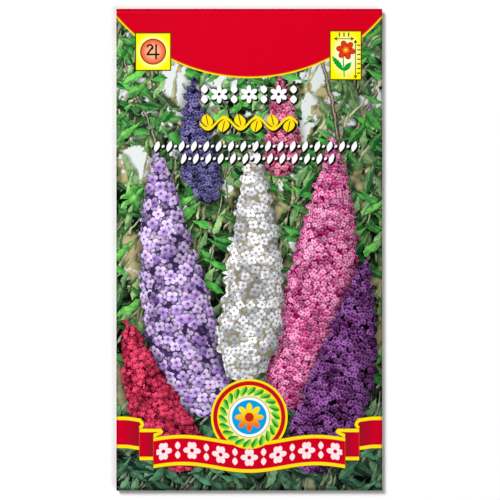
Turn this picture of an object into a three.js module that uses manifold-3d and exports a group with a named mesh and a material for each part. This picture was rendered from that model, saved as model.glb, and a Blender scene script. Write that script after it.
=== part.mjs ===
// Paper seed packet, sealed, lying on its back with the printed front up.
//
// Millimetres, +Z up. The origin is on the ground under the packet's centre, +Y runs to its
// top edge and +X to the right of the front. One sheet of paper makes the whole envelope: the
// front panel wraps round both long edges, two back panels meet in a glued lap seam, and an
// end flap is folded under at the top and the bottom. The packet is slightly pillowed by the
// air and the seed sachet inside it. The print on the front is laid on as thin films.

import * as THREE from 'three';
import { mergeVertices } from 'three/addons/utils/BufferGeometryUtils.js';
import Module from 'manifold-3d';

const wasm = await Module();
wasm.setup();

// ---------------------------------------------------------------- driving dimensions

const WIDTH = 80; // long edge to long edge
const LENGTH = 145; // bottom fold to top fold
const PAPER = 0.12; // thickness of the sheet
const GLUE_GAP = 0.08; // between glued layers
const EDGE_THICKNESS = 0.7; // of the closed envelope along its long edges

const EDGE_LIFT = 0.9; // how far the edges stand above the ground
const FRONT_RISE = 2.2; // bulge of the front above its edges
const BACK_DROP = 1.4; // bulge of the back below its edges, before the ground flattens it
const CONTACT_BLEND = 0.25; // height over which the back lifts off the ground

const SEAM_HALF_WIDTH = 4; // the two back panels overlap this far on each side of the middle
const JOGGLE_START = 0.4; // past the seam's edge, where the inner panel starts to step down
const JOGGLE_LENGTH = 2.4;
const TOP_FLAP_DEPTH = 14;
const BOTTOM_FLAP_DEPTH = 11;
const FLAP_TAPER = 6; // how much narrower a flap's free edge is, on each side

const SACHET_WIDTH = 50;
const SACHET_LENGTH = 64;
const SACHET_RIM = 0.3; // thickness of its crimped edge
const SACHET_RISE = 1.1; // extra thickness over the seeds
const SACHET_CLEARANCE = 0.1; // above the seam it rests on
const SACHET_Y = -12;

const INK_GAP = 0.04; // films stand this far off the paper
const INK = 0.08; // thickness of a film
const PRISM_DEPTH = 8; // taller than the packet, so a prism cuts right through the film layer

const FRONT_COLUMNS = 12;
const ROWS = 18;
const FOLD_STEPS = 6;

// ---------------------------------------------------------------- the envelope's surfaces

const FOLD_RADIUS = EDGE_THICKNESS / 2;
const FLAP_FOLD_RADIUS = (EDGE_THICKNESS + GLUE_GAP + PAPER) / 2;
const PANEL_X = WIDTH / 2 - FOLD_RADIUS; // where a long edge starts to turn under
const PANEL_Y = LENGTH / 2 - FLAP_FOLD_RADIUS; // where an end flap starts to turn under
const EDGE_TOP = EDGE_LIFT + EDGE_THICKNESS;

/** How full the pillow is at a place: 0 along all four edges, 1 in the middle. */
function fullness(x, y) {
  const across = x / PANEL_X;
  const along = Math.abs(y / PANEL_Y);
  return Math.max(0, (1 - across ** 2) * (1 - along ** 3));
}

/** Height of the front's outer surface. */
function frontHeight(x, y) {
  return EDGE_TOP + FRONT_RISE * fullness(x, y);
}

/** Height of the back's outer surface, which the ground holds flat in the middle. */
function backHeight(x, y) {
  const free = EDGE_LIFT - BACK_DROP * fullness(x, y);
  if (free >= CONTACT_BLEND) return free;
  if (free <= -CONTACT_BLEND) return 0;
  return (free + CONTACT_BLEND) ** 2 / (4 * CONTACT_BLEND);
}

/** How far the inner back panel steps up to pass over the outer one in the seam. */
function joggle(x) {
  const start = SEAM_HALF_WIDTH + JOGGLE_START;
  const down = THREE.MathUtils.smoothstep(x, start, start + JOGGLE_LENGTH);
  return (PAPER + GLUE_GAP) * (1 - down);
}

/** Stations from one value to another in equal steps, both ends included. */
function stations(from, to, steps) {
  return Array.from({ length: steps + 1 }, (_, i) => from + ((to - from) * i) / steps);
}

const LOWER_FACE = 5; // the group of a BoxGeometry that faces down

/**
 * A closed sheet: a box whose vertices are moved by place(column, row, upper) => [x, y, z].
 * Columns and rows are the stations of its grid, and upper says which of its two faces.
 */
function sheet(columns, rows, place) {
  const box = new THREE.BoxGeometry(1, 1, 1, columns.length - 1, rows.length - 1, 1);
  const position = box.getAttribute('position');
  for (let i = 0; i < position.count; i++) {
    const column = columns[Math.round((position.getX(i) + 0.5) * (columns.length - 1))];
    const row = rows[Math.round((position.getY(i) + 0.5) * (rows.length - 1))];
    position.setXYZ(i, ...place(column, row, position.getZ(i) > 0));
  }
  // Both faces split their quads along the same diagonal, so the sheet keeps its thickness.
  const index = box.getIndex();
  const lower = box.groups[LOWER_FACE];
  for (let i = lower.start; i < lower.start + lower.count; i += 6) {
    const [a, b, , , c, d] = index.array.subarray(i, i + 6);
    index.array.set([a, b, c, a, c, d], i);
  }
  box.computeVertexNormals();
  return box;
}

const panelColumns = stations(-PANEL_X, PANEL_X, FRONT_COLUMNS);
const panelRows = stations(-PANEL_Y, PANEL_Y, ROWS);

// ---------------------------------------------------------------- paper

/** The front panel with both long edges turned under. A column is a distance along the sheet. */
function frontPanel() {
  const turned = PANEL_X + Math.PI * FOLD_RADIUS;
  const columns = [
    ...stations(-turned, -PANEL_X, FOLD_STEPS).slice(0, -1),
    ...panelColumns,
    ...stations(PANEL_X, turned, FOLD_STEPS).slice(1),
  ];
  return sheet(columns, panelRows, (along, y, outer) => {
    if (Math.abs(along) <= PANEL_X) return [along, y, frontHeight(along, y) - (outer ? 0 : PAPER)];
    const turn = (Math.abs(along) - PANEL_X) / FOLD_RADIUS;
    const radius = outer ? FOLD_RADIUS : FOLD_RADIUS - PAPER;
    const x = Math.sign(along) * (PANEL_X + radius * Math.sin(turn));
    return [x, y, EDGE_TOP - FOLD_RADIUS + radius * Math.cos(turn)];
  });
}

/** One back panel between two x stations, raised by lift(x) above the back's outer surface. */
function backPanel(columns, lift) {
  return sheet(columns, panelRows, (x, y, upper) => [
    x,
    y,
    backHeight(x, y) + lift(x) + (upper ? PAPER : 0),
  ]);
}

/** An end flap, placed at the top: it carries on from the front, turns under and lies on the back. */
function endFlap(depth) {
  const turned = Math.PI * FLAP_FOLD_RADIUS;
  const rows = [
    ...stations(0, turned, FOLD_STEPS).slice(0, -1),
    ...stations(turned, turned + depth, 4),
  ];
  return sheet(panelColumns, rows, (column, along, outer) => {
    const beyond = Math.max(0, along - turned);
    const x = column * (1 - (FLAP_TAPER / PANEL_X) * (beyond / depth));
    if (along < turned) {
      const turn = along / FLAP_FOLD_RADIUS;
      const radius = outer ? FLAP_FOLD_RADIUS : FLAP_FOLD_RADIUS - PAPER;
      return [x, PANEL_Y + radius * Math.sin(turn), EDGE_TOP - FLAP_FOLD_RADIUS + radius * Math.cos(turn)];
    }
    const y = PANEL_Y - beyond;
    return [x, y, backHeight(x, y) - GLUE_GAP - (outer ? PAPER : 0)];
  });
}

// ---------------------------------------------------------------- contents

/** Small flat sachet of seeds that lies on the back's seam inside the envelope. */
function seedSachet() {
  const columns = stations(-SACHET_WIDTH / 2, SACHET_WIDTH / 2, 14);
  const rows = stations(-SACHET_LENGTH / 2, SACHET_LENGTH / 2, 18);
  const floor = PAPER + GLUE_GAP + PAPER + SACHET_CLEARANCE;
  return sheet(columns, rows, (x, y, upper) => {
    const across = (2 * x) / SACHET_WIDTH;
    const along = (2 * y) / SACHET_LENGTH;
    const swell = SACHET_RISE * (1 - across ** 2) * (1 - along ** 2);
    const rest = backHeight(x, y + SACHET_Y) + floor;
    return [x, y + SACHET_Y, rest + (upper ? SACHET_RIM + swell : 0)];
  });
}

// ---------------------------------------------------------------- outlines of the print

const HEADER_LOW_Y = 52.1; // lowest point of the header's curved edge
const HEADER_SIDE_Y = 70.4; // its height at the long edges
const HEADER_LINE = 0.65;

const SUN_PLATE = { x: -28.9, y: 59.5, width: 10.9, height: 11.6 };
const SUN_RADIUS = 3.9;
const SIZE_PLATE = { x: 28.95, y: 58.4, width: 9.7, height: 15 };
const SIZE_BLOOM = { rise: 1.6, inner: 1.75, outer: 2.8, petals: 6 };

const SEAL = { x: 0, y: -50.2, rim: 11.5, ring: 10.7, field: 9.6, band: 6, disc: 5.2 };
const SEAL_BLOOM = { inner: 2.2, outer: 4.3, petals: 8 };

const RIBBON_TRIM = 1.05;
const RIBBON_BAND = { halfWidth: 28.8, low: -64.6, high: -57.5, middle: -0.22, wave: 1.12, half: 20 };
const RIBBON_FOLD = { from: 28.8, to: 33, low: -62.2, high: -54.8 };
const RIBBON_TAIL = { from: 33, to: PANEL_X, low: -58.6, high: -51.2 };

// Flower spikes, front ones first: base and tip on the sheet, greatest half width, sideways bow.
const SPIKES = [
  { colour: 'coral', base: [-17, -66], tip: [-37, -20], halfWidth: 8.6, bow: -3 },
  { colour: 'purple', base: [17, -67], tip: [35, -2], halfWidth: 10.5, bow: 3 },
  { colour: 'white', base: [-2, -40], tip: [1, 33], halfWidth: 9.6, bow: 2 },
  { colour: 'lilac', base: [-12, -50], tip: [-27.5, 31], halfWidth: 11.5, bow: -3.5 },
  { colour: 'pink', base: [12, -48], tip: [25, 35], halfWidth: 12.2, bow: 4 },
  { colour: 'violet', base: [-12, 14], tip: [-17, 52], halfWidth: 5.8, bow: -1.5 },
  { colour: 'rose', base: [9, 22], tip: [9, 52], halfWidth: 5.6, bow: 1 },
];
const SPIKE_STEPS = 14;
const SPIKE_SHOULDER = 0.22; // share of its length where a spike is widest

// Leaves beside the spikes: base, tip and half width.
const LEAVES = [
  { base: [-25, -16], tip: [-38.8, 26], halfWidth: 3.4 },
  { base: [28, -8], tip: [38.8, 34], halfWidth: 3.4 },
  { base: [-6, -58], tip: [-12, -71], halfWidth: 2.8 },
  { base: [6, -58], tip: [10, -71.5], halfWidth: 2.8 },
];

/** Half width of a flower spike at a share of its length: a round foot, then a long taper. */
function spikeProfile(share) {
  if (share < SPIKE_SHOULDER) return Math.sqrt(1 - (1 - share / SPIKE_SHOULDER) ** 2);
  return (1 - ((share - SPIKE_SHOULDER) / (1 - SPIKE_SHOULDER)) ** 1.7) ** 0.8;
}

/** Half width of a leaf at a share of its length: pointed at both ends, fullest below the middle. */
function leafProfile(share) {
  return Math.sin(Math.PI * share ** 0.8);
}

/** A closed outline of a form that runs from base to tip with the given profile and bow. */
function longOutline({ base, tip, halfWidth, bow = 0 }, profile) {
  const start = new THREE.Vector2(...base);
  const axis = new THREE.Vector2(...tip).sub(start);
  const side = new THREE.Vector2(-axis.y, axis.x).normalize();
  const shares = stations(0, 1, SPIKE_STEPS);
  const edge = (share, sign) => {
    const out = sign * halfWidth * profile(share) - bow * 4 * share * (1 - share);
    return start.clone().addScaledVector(axis, share).addScaledVector(side, out);
  };
  const left = shares.map((share) => edge(share, 1));
  const right = shares.slice(1, -1).reverse().map((share) => edge(share, -1));
  return new THREE.Shape([...left, ...right]);
}

function rectangle({ x, y, width, height }) {
  const [dx, dy] = [width / 2, height / 2];
  return new THREE.Shape([
    new THREE.Vector2(x - dx, y - dy),
    new THREE.Vector2(x + dx, y - dy),
    new THREE.Vector2(x + dx, y + dy),
    new THREE.Vector2(x - dx, y + dy),
  ]);
}

function disc(x, y, radius) {
  return new THREE.Shape().absarc(x, y, radius, 0, 2 * Math.PI);
}

/** A rosette of equal petals: the radius swings between an inner and an outer value. */
function rosette(x, y, { inner, outer, petals }) {
  const points = stations(0, 2 * Math.PI, petals * 6).slice(0, -1).map((angle) => {
    const radius = inner + (outer - inner) * Math.abs(Math.cos((petals / 2) * angle)) ** 0.7;
    return new THREE.Vector2(x + radius * Math.cos(angle), y + radius * Math.sin(angle));
  });
  return new THREE.Shape(points);
}

/** The area above a curve that sags from both long edges to the middle, lowered by drop. */
function headerArea(drop) {
  const sag = HEADER_SIDE_Y - HEADER_LOW_Y;
  const radius = (PANEL_X ** 2 + sag ** 2) / (2 * sag);
  const centreY = HEADER_LOW_Y + radius;
  const swing = Math.asin(PANEL_X / (radius + drop));
  const shape = new THREE.Shape();
  shape.moveTo(PANEL_X, PANEL_Y);
  shape.lineTo(-PANEL_X, PANEL_Y);
  shape.absarc(0, centreY, radius + drop, 1.5 * Math.PI - swing, 1.5 * Math.PI + swing);
  return shape;
}

/** The ribbon's middle band, which waves gently, grown by a margin above and below. */
function ribbonBand(margin) {
  const { halfWidth, low, high, middle, wave, half } = RIBBON_BAND;
  const shift = (x) => middle - wave * Math.cos((Math.PI * x) / half);
  const xs = stations(-halfWidth, halfWidth, 16);
  return new THREE.Shape([
    ...xs.map((x) => new THREE.Vector2(x, low - margin + shift(x))),
    ...xs.reverse().map((x) => new THREE.Vector2(x, high + margin + shift(x))),
  ]);
}

/** One straight stretch of the ribbon beside the band, on the side given by sign. */
function ribbonStretch({ from, to, low, high }, sign, margin) {
  return rectangle({
    x: (sign * (from + to)) / 2,
    y: (low + high) / 2,
    width: to - from,
    height: high - low + 2 * margin,
  });
}

// ---------------------------------------------------------------- films

/** A three.js geometry as a manifold-3d solid. */
function solidOf(geometry) {
  const bare = geometry.clone();
  for (const name of ['normal', 'uv']) bare.deleteAttribute(name);
  const merged = mergeVertices(bare, 1e-4);
  return new wasm.Manifold(
    new wasm.Mesh({
      numProp: 3,
      vertProperties: merged.getAttribute('position').array,
      triVerts: new Uint32Array(merged.index.array),
    }),
  );
}

/** A manifold-3d solid as a three.js geometry. */
function geometryOf(solid) {
  const { numProp, vertProperties, triVerts } = solid.getMesh();
  const position = new Float32Array((vertProperties.length / numProp) * 3);
  for (let i = 0; i < position.length / 3; i++) {
    position.set(vertProperties.subarray(i * numProp, i * numProp + 3), i * 3);
  }
  const geometry = new THREE.BufferGeometry();
  geometry.setAttribute('position', new THREE.BufferAttribute(position, 3));
  geometry.setIndex(new THREE.BufferAttribute(triVerts, 1));
  const faceted = geometry.toNonIndexed();
  faceted.computeVertexNormals();
  return faceted;
}

const SMALLEST_FILM = 3 * INK; // volume of a film of 3 square millimetres: less is left as bare paper

/** Lays films on the front, the uppermost first: each keeps clear of those laid before it. */
class FilmLayer {
  constructor() {
    this.free = solidOf(
      sheet(panelColumns, panelRows, (x, y, upper) => [
        x,
        y,
        frontHeight(x, y) + INK_GAP + (upper ? INK : 0),
      ]),
    );
  }

  /** The parts of an outline that are still free, largest first, taken out of the layer. */
  take(shape) {
    const extruded = new THREE.ExtrudeGeometry(shape, {
      depth: PRISM_DEPTH,
      bevelEnabled: false,
      curveSegments: 14,
    });
    const prism = solidOf(extruded);
    const taken = this.free.intersect(prism);
    this.free = this.free.subtract(prism);
    return FilmLayer.pieces(taken);
  }

  /** What no outline has taken. */
  rest() {
    return FilmLayer.pieces(this.free);
  }

  static pieces(solid) {
    return solid
      .decompose()
      .filter((piece) => piece.volume() > SMALLEST_FILM)
      .sort((a, b) => b.volume() - a.volume())
      .map(geometryOf);
  }
}

// ---------------------------------------------------------------- materials

const paint = (color, roughness) => new THREE.MeshStandardMaterial({ color, roughness, metalness: 0 });
const MATERIALS = {
  paper: paint('#f3f1ec', 0.7),
  foil: new THREE.MeshStandardMaterial({ color: '#cfd2d4', roughness: 0.35, metalness: 0.8 }),
  red: paint('#e00025', 0.35),
  darkRed: paint('#b3142b', 0.35),
  yellow: paint('#ffe11a', 0.35),
  orange: paint('#f0703c', 0.35),
  green: paint('#1f9a3a', 0.35),
  leaf: paint('#3f7f3a', 0.35),
  foliage: paint('#5c8a4c', 0.35),
  blue: paint('#2aa3dd', 0.35),
  white: paint('#eef0f4', 0.35),
  pink: paint('#de5a9b', 0.35),
  rose: paint('#e88fb4', 0.35),
  lilac: paint('#ac8fd0', 0.35),
  violet: paint('#6a5aa0', 0.35),
  purple: paint('#6f2f78', 0.35),
  coral: paint('#dc4a5c', 0.35),
};

// ---------------------------------------------------------------- assembly

const packet = new THREE.Group();

function add(name, geometry, material) {
  const mesh = new THREE.Mesh(geometry, material);
  mesh.name = name;
  packet.add(mesh);
  return mesh;
}

/** Adds an outline's films. Where films above it split it, each part is a node of its own. */
function addFilms(name, geometries, material) {
  geometries.forEach((geometry, i) => {
    add(geometries.length > 1 ? `${name}_${i + 1}` : name, geometry, material);
  });
}

add('front_panel', frontPanel(), MATERIALS.paper);
add(
  'back_panel_outer',
  backPanel(stations(-PANEL_X, SEAM_HALF_WIDTH, 11), () => 0),
  MATERIALS.paper,
);
const stepStart = SEAM_HALF_WIDTH + JOGGLE_START;
const innerColumns = [
  ...stations(-SEAM_HALF_WIDTH, stepStart, 3).slice(0, -1),
  ...stations(stepStart, stepStart + JOGGLE_LENGTH, 4).slice(0, -1),
  ...stations(stepStart + JOGGLE_LENGTH, PANEL_X, 8),
];
add('back_panel_inner', backPanel(innerColumns, joggle), MATERIALS.paper);
add('top_flap', endFlap(TOP_FLAP_DEPTH), MATERIALS.paper);
add('bottom_flap', endFlap(BOTTOM_FLAP_DEPTH), MATERIALS.paper).rotation.z = Math.PI;
add('seed_sachet', seedSachet(), MATERIALS.foil);

const films = new FilmLayer();
const lay = (name, shape, material) => addFilms(name, films.take(shape), material);

lay('sun_disc', disc(SUN_PLATE.x, SUN_PLATE.y, SUN_RADIUS), MATERIALS.orange);
lay('sun_plate', rectangle(SUN_PLATE), MATERIALS.yellow);
const bloomY = SIZE_PLATE.y + SIZE_BLOOM.rise;
lay('size_plate_bloom', rosette(SIZE_PLATE.x, bloomY, SIZE_BLOOM), MATERIALS.red);
lay('size_plate', rectangle(SIZE_PLATE), MATERIALS.yellow);

lay('seal_bloom', rosette(SEAL.x, SEAL.y, SEAL_BLOOM), MATERIALS.orange);
lay('seal_disc', disc(SEAL.x, SEAL.y, SEAL.disc), MATERIALS.blue);
lay('seal_band', disc(SEAL.x, SEAL.y, SEAL.band), MATERIALS.white);
lay('seal_field', disc(SEAL.x, SEAL.y, SEAL.field), MATERIALS.green);
lay('ribbon_band', ribbonBand(0), MATERIALS.red);
lay('ribbon_band_trim', ribbonBand(RIBBON_TRIM), MATERIALS.yellow);
lay('seal_ring', disc(SEAL.x, SEAL.y, SEAL.ring), MATERIALS.red);
lay('seal_rim', disc(SEAL.x, SEAL.y, SEAL.rim), MATERIALS.yellow);
for (const [side, sign] of [['left', -1], ['right', 1]]) {
  lay(`ribbon_fold_${side}`, ribbonStretch(RIBBON_FOLD, sign, 0), MATERIALS.darkRed);
  lay(`ribbon_tail_${side}`, ribbonStretch(RIBBON_TAIL, sign, 0), MATERIALS.red);
  lay(`ribbon_fold_trim_${side}`, ribbonStretch(RIBBON_FOLD, sign, RIBBON_TRIM), MATERIALS.yellow);
  lay(`ribbon_tail_trim_${side}`, ribbonStretch(RIBBON_TAIL, sign, RIBBON_TRIM), MATERIALS.yellow);
}

lay('header', headerArea(0), MATERIALS.red);
lay('header_line', headerArea(HEADER_LINE), MATERIALS.yellow);

for (const spike of SPIKES) {
  lay(`spike_${spike.colour}`, longOutline(spike, spikeProfile), MATERIALS[spike.colour]);
}
LEAVES.forEach((leaf, i) => lay(`leaf_${i + 1}`, longOutline(leaf, leafProfile), MATERIALS.leaf));
addFilms('foliage', films.rest(), MATERIALS.foliage);

export default packet;
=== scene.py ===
"""A sealed paper packet of flower seeds, lying on its back in a plain studio.

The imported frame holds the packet's paper, its sachet and the outlines of its print. The
classes below dress it: one sheet of paper makes the front and its folded sides, two panels
and two end flaps close the back, and the print is drawn by shader nodes in the packet's own
coordinates. Sizes in the classes are millimetres, and they become metres in the meshes.
"""

import logging
import math
from dataclasses import dataclass
from enum import Enum
from typing import Callable, Sequence, Union

import bpy
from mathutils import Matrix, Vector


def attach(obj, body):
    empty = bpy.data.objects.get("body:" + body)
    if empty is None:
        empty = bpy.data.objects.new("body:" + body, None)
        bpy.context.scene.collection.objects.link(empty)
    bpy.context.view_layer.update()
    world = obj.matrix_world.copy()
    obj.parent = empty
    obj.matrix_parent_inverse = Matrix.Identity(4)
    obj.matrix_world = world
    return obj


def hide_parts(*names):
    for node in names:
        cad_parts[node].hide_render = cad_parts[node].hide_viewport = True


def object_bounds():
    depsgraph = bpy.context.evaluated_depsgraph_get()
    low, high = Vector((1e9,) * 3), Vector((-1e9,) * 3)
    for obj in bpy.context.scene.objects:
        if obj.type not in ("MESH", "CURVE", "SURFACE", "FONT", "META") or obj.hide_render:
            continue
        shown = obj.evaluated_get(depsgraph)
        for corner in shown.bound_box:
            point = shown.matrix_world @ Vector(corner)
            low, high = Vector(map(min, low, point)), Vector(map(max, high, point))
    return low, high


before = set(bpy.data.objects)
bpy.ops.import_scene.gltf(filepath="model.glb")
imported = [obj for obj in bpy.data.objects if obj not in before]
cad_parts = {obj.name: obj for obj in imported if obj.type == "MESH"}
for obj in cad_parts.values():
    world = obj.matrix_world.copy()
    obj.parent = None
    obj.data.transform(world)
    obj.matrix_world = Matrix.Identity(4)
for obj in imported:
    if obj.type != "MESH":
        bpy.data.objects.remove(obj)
CAD_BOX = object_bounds()

log = logging.getLogger("seed_packet")

MM = 0.001  # metres in a millimetre
Point = tuple[float, float]
Place = tuple[float, float, float]
Colour = tuple[float, float, float, float]


def ink_colour(code: str) -> Colour:
    """Turns a printed colour into the linear values that a shader takes.

    Args:
        code: The colour as six hexadecimal digits.

    Returns:
        Its linear red, green, blue and alpha.
    """
    parts = [int(code[i : i + 2], 16) / 255 for i in (0, 2, 4)]
    linear = [p / 12.92 if p <= 0.04045 else ((p + 0.055) / 1.055) ** 2.4 for p in parts]
    return (linear[0], linear[1], linear[2], 1.0)


# ------------------------------------------------------------------ drawing with nodes


@dataclass(frozen=True)
class Flow:
    """A number, vector or colour that the nodes of a material work out at each point."""

    ink: "Ink"
    socket: bpy.types.NodeSocket

    def __add__(self, other: "Amount") -> "Flow":
        """Adds a number."""
        return self.ink.maths("ADD", self, other)

    def __radd__(self, other: float) -> "Flow":
        """Adds this to a number."""
        return self.ink.maths("ADD", other, self)

    def __sub__(self, other: "Amount") -> "Flow":
        """Takes a number away."""
        return self.ink.maths("SUBTRACT", self, other)

    def __rsub__(self, other: float) -> "Flow":
        """Takes this away from a number."""
        return self.ink.maths("SUBTRACT", other, self)

    def __mul__(self, other: "Amount") -> "Flow":
        """Multiplies by a number."""
        return self.ink.maths("MULTIPLY", self, other)

    def __rmul__(self, other: float) -> "Flow":
        """Multiplies a number by this."""
        return self.ink.maths("MULTIPLY", other, self)

    def __truediv__(self, other: "Amount") -> "Flow":
        """Divides by a number."""
        return self.ink.maths("DIVIDE", self, other)

    def __pow__(self, other: "Amount") -> "Flow":
        """Raises to a power."""
        return self.ink.maths("POWER", self, other)

    def __neg__(self) -> "Flow":
        """Turns the sign round."""
        return self.ink.maths("MULTIPLY", self, -1.0)

    def __abs__(self) -> "Flow":
        """Drops the sign."""
        return self.ink.maths("ABSOLUTE", self)


Amount = Union[Flow, float]
Tint = Union[Flow, str]  # a colour worked out by nodes, or the six digits of a plain ink


@dataclass(frozen=True)
class Cells:
    """A point's cell in a scattered pattern: where its middle is and what chance gave it."""

    away: Flow
    across: Flow
    up: Flow
    chance: Flow
    other_chance: Flow


class Ink:
    """Writes nodes that read the packet's own millimetres."""

    COOL_HUE = 0.56  # over a half, greens turn towards blue
    COOL_SATURATION = 0.8

    def __init__(self, tree: bpy.types.NodeTree) -> None:
        """Starts in an empty tree.

        Args:
            tree: The node tree to write in.
        """
        self.tree = tree
        self.tree.nodes.clear()
        own = self.node("ShaderNodeTexCoord").outputs["Object"]
        scaled = self.node("ShaderNodeMapping", {0: own, "Scale": (1 / MM, 1 / MM, 1 / MM)})
        self.place = Flow(self, scaled.outputs[0])
        self.x, self.y, _ = self.split(self.place)

    def node(self, kind: str, inputs: dict | None = None, **settings: object) -> bpy.types.Node:
        """Adds a node.

        Args:
            kind: Blender's name for its type.
            inputs: What its sockets are fed, by name or number.
            **settings: Its other settings.

        Returns:
            The node.
        """
        made = self.tree.nodes.new(kind)
        for name, value in settings.items():
            setattr(made, name, value)
        for key, value in (inputs or {}).items():
            if isinstance(value, Flow):
                self.tree.links.new(value.socket, made.inputs[key])
            elif isinstance(value, bpy.types.NodeSocket):
                self.tree.links.new(value, made.inputs[key])
            elif isinstance(value, str):
                made.inputs[key].default_value = ink_colour(value)
            else:
                made.inputs[key].default_value = value
        return made

    def maths(self, operation: str, *values: Amount, clamp: bool = False) -> Flow:
        """Works out one step of arithmetic.

        Args:
            operation: Blender's name for it.
            *values: The numbers that go in.
            clamp: Whether the answer is kept between 0 and 1.

        Returns:
            The answer.
        """
        made = self.node("ShaderNodeMath", dict(enumerate(values)), operation=operation)
        made.use_clamp = clamp
        return Flow(self, made.outputs[0])

    def larger(self, one: Amount, other: Amount) -> Flow:
        """Gives the larger of two numbers, or the distance outside what two shapes share."""
        return self.maths("MAXIMUM", one, other)

    def smaller(self, one: Amount, other: Amount) -> Flow:
        """Gives the smaller of two numbers, or the distance outside two shapes together."""
        return self.maths("MINIMUM", one, other)

    def offset(self, centre: Point) -> tuple[Flow, Flow]:
        """Gives how far to the right of a point and how far above it the place is."""
        return self.x - centre[0], self.y - centre[1]

    def split(self, vector: Flow) -> tuple[Flow, Flow, Flow]:
        """Takes a vector apart into its three numbers."""
        outputs = self.node("ShaderNodeSeparateXYZ", {0: vector}).outputs
        return Flow(self, outputs[0]), Flow(self, outputs[1]), Flow(self, outputs[2])

    def join(self, x: Amount, y: Amount) -> Flow:
        """Makes a flat vector of two numbers."""
        return Flow(self, self.node("ShaderNodeCombineXYZ", {0: x, 1: y}).outputs[0])

    def local(self, centre: Point, turn: float, size: Point, place: Flow | None = None) -> Flow:
        """Gives the place on the packet in the frame of a motif.

        Args:
            centre: The motif's own origin on the packet.
            turn: The angle in radians that it is turned by.
            size: How long the motif's units are along its two axes.
            place: The place to start from, where it isn't the packet's own.

        Returns:
            The vector in the motif's units.
        """
        inputs = {
            0: place or self.place,
            "Location": (*centre, 0.0),
            "Rotation": (0.0, 0.0, turn),
            "Scale": (*size, 1.0),
        }
        return Flow(self, self.node("ShaderNodeMapping", inputs, vector_type="TEXTURE").outputs[0])

    def ease(self, value: Amount, low: float, high: float, clear: float = 0.0, full: float = 1.0) -> Flow:
        """Goes softly from one value to another.

        Args:
            value: What decides how far it has gone.
            low: Where it starts.
            high: Where it ends.
            clear: The answer at the start.
            full: The answer at the end.

        Returns:
            The eased number.
        """
        rising = high > low
        inputs = {
            "Value": value,
            "From Min": low if rising else high,
            "From Max": high if rising else low,
            "To Min": clear if rising else full,
            "To Max": full if rising else clear,
        }
        made = self.node("ShaderNodeMapRange", inputs, interpolation_type="SMOOTHSTEP")
        return Flow(self, made.outputs["Result"])

    def mix(self, base: Tint, top: Tint, share: Amount) -> Flow:
        """Lays one colour over another by a share."""
        made = self.node("ShaderNodeMix", {0: share, 6: base, 7: top}, data_type="RGBA")
        return Flow(self, made.outputs[2])

    def choose(self, base: Amount, top: Amount, share: Amount) -> Flow:
        """Goes from one number to another by a share."""
        made = self.node("ShaderNodeMix", {0: share, 2: base, 3: top}, data_type="FLOAT")
        return Flow(self, made.outputs[0])

    def shade(self, colour: Tint, light: Amount) -> Flow:
        """Makes a colour lighter or darker.

        Args:
            colour: The colour.
            light: What its light is multiplied by.

        Returns:
            The new colour.
        """
        inputs = {0: light, 6: "000000", 7: colour}
        made = self.node("ShaderNodeMix", inputs, data_type="RGBA", clamp_factor=False)
        return Flow(self, made.outputs[2])

    def add(self, base: Tint, top: Tint) -> Flow:
        """Adds one colour's light to another's.

        Args:
            base: The first colour.
            top: The second colour.

        Returns:
            The sum of both.
        """
        inputs = {0: 1.0, 6: base, 7: top}
        made = self.node("ShaderNodeMix", inputs, data_type="RGBA", blend_type="ADD")
        return Flow(self, made.outputs[2])

    def cool(self, colour: Tint, share: Amount) -> Flow:
        """Turns a colour's greens towards blue and dulls them, by a share.

        Args:
            colour: The colour.
            share: How much of the change is made.

        Returns:
            The new colour.
        """
        change = {"Hue": self.COOL_HUE, "Saturation": self.COOL_SATURATION, "Value": 1.0}
        made = self.node("ShaderNodeHueSaturation", {"Fac": share, "Color": colour, **change})
        return Flow(self, made.outputs[0])

    def palette(self, code: Amount, colours: Sequence[str]) -> Flow:
        """Picks a colour from a row of them.

        Args:
            code: The colour's place in the row, from 0.
            colours: The row.

        Returns:
            The colour.
        """
        share = self.maths("MULTIPLY_ADD", code, 1 / len(colours), 0.5 / len(colours))
        made = self.node("ShaderNodeValToRGB", {0: share})
        ramp = made.color_ramp
        ramp.interpolation = "CONSTANT"
        while len(ramp.elements) < len(colours):
            ramp.elements.new(1.0)
        for i, colour in enumerate(colours):
            ramp.elements[i].position = i / len(colours)
            ramp.elements[i].color = ink_colour(colour)
        return Flow(self, made.outputs["Color"])

    def noise(self, vector: Flow, scale: float, detail: float = 2.0, rough: float = 0.5) -> Flow:
        """Gives a cloudy number between 0 and 1.

        Args:
            vector: Where it is read.
            scale: How many clouds there are in one unit.
            detail: How many finer layers it has.
            rough: How strong the finer layers are.

        Returns:
            The number.
        """
        inputs = {"Vector": vector, "Scale": scale, "Detail": detail, "Roughness": rough}
        return Flow(self, self.node("ShaderNodeTexNoise", inputs).outputs[0])

    def strayed(self, scale: float, reach: float) -> Flow:
        """Gives the place on the packet, pushed about by soft noise.

        Args:
            scale: How many clouds of noise there are in a millimetre.
            reach: How far the strongest push goes.

        Returns:
            The vector.
        """
        inputs = {"Vector": self.place, "Scale": scale, "Detail": 4.0, "Roughness": 0.55}
        push = self.node("ShaderNodeTexNoise", inputs).outputs["Color"]
        inputs = {0: push, 1: (reach, reach, 0.0), 2: self.place}
        made = self.node("ShaderNodeVectorMath", inputs, operation="MULTIPLY_ADD")
        return Flow(self, made.outputs[0])

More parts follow.
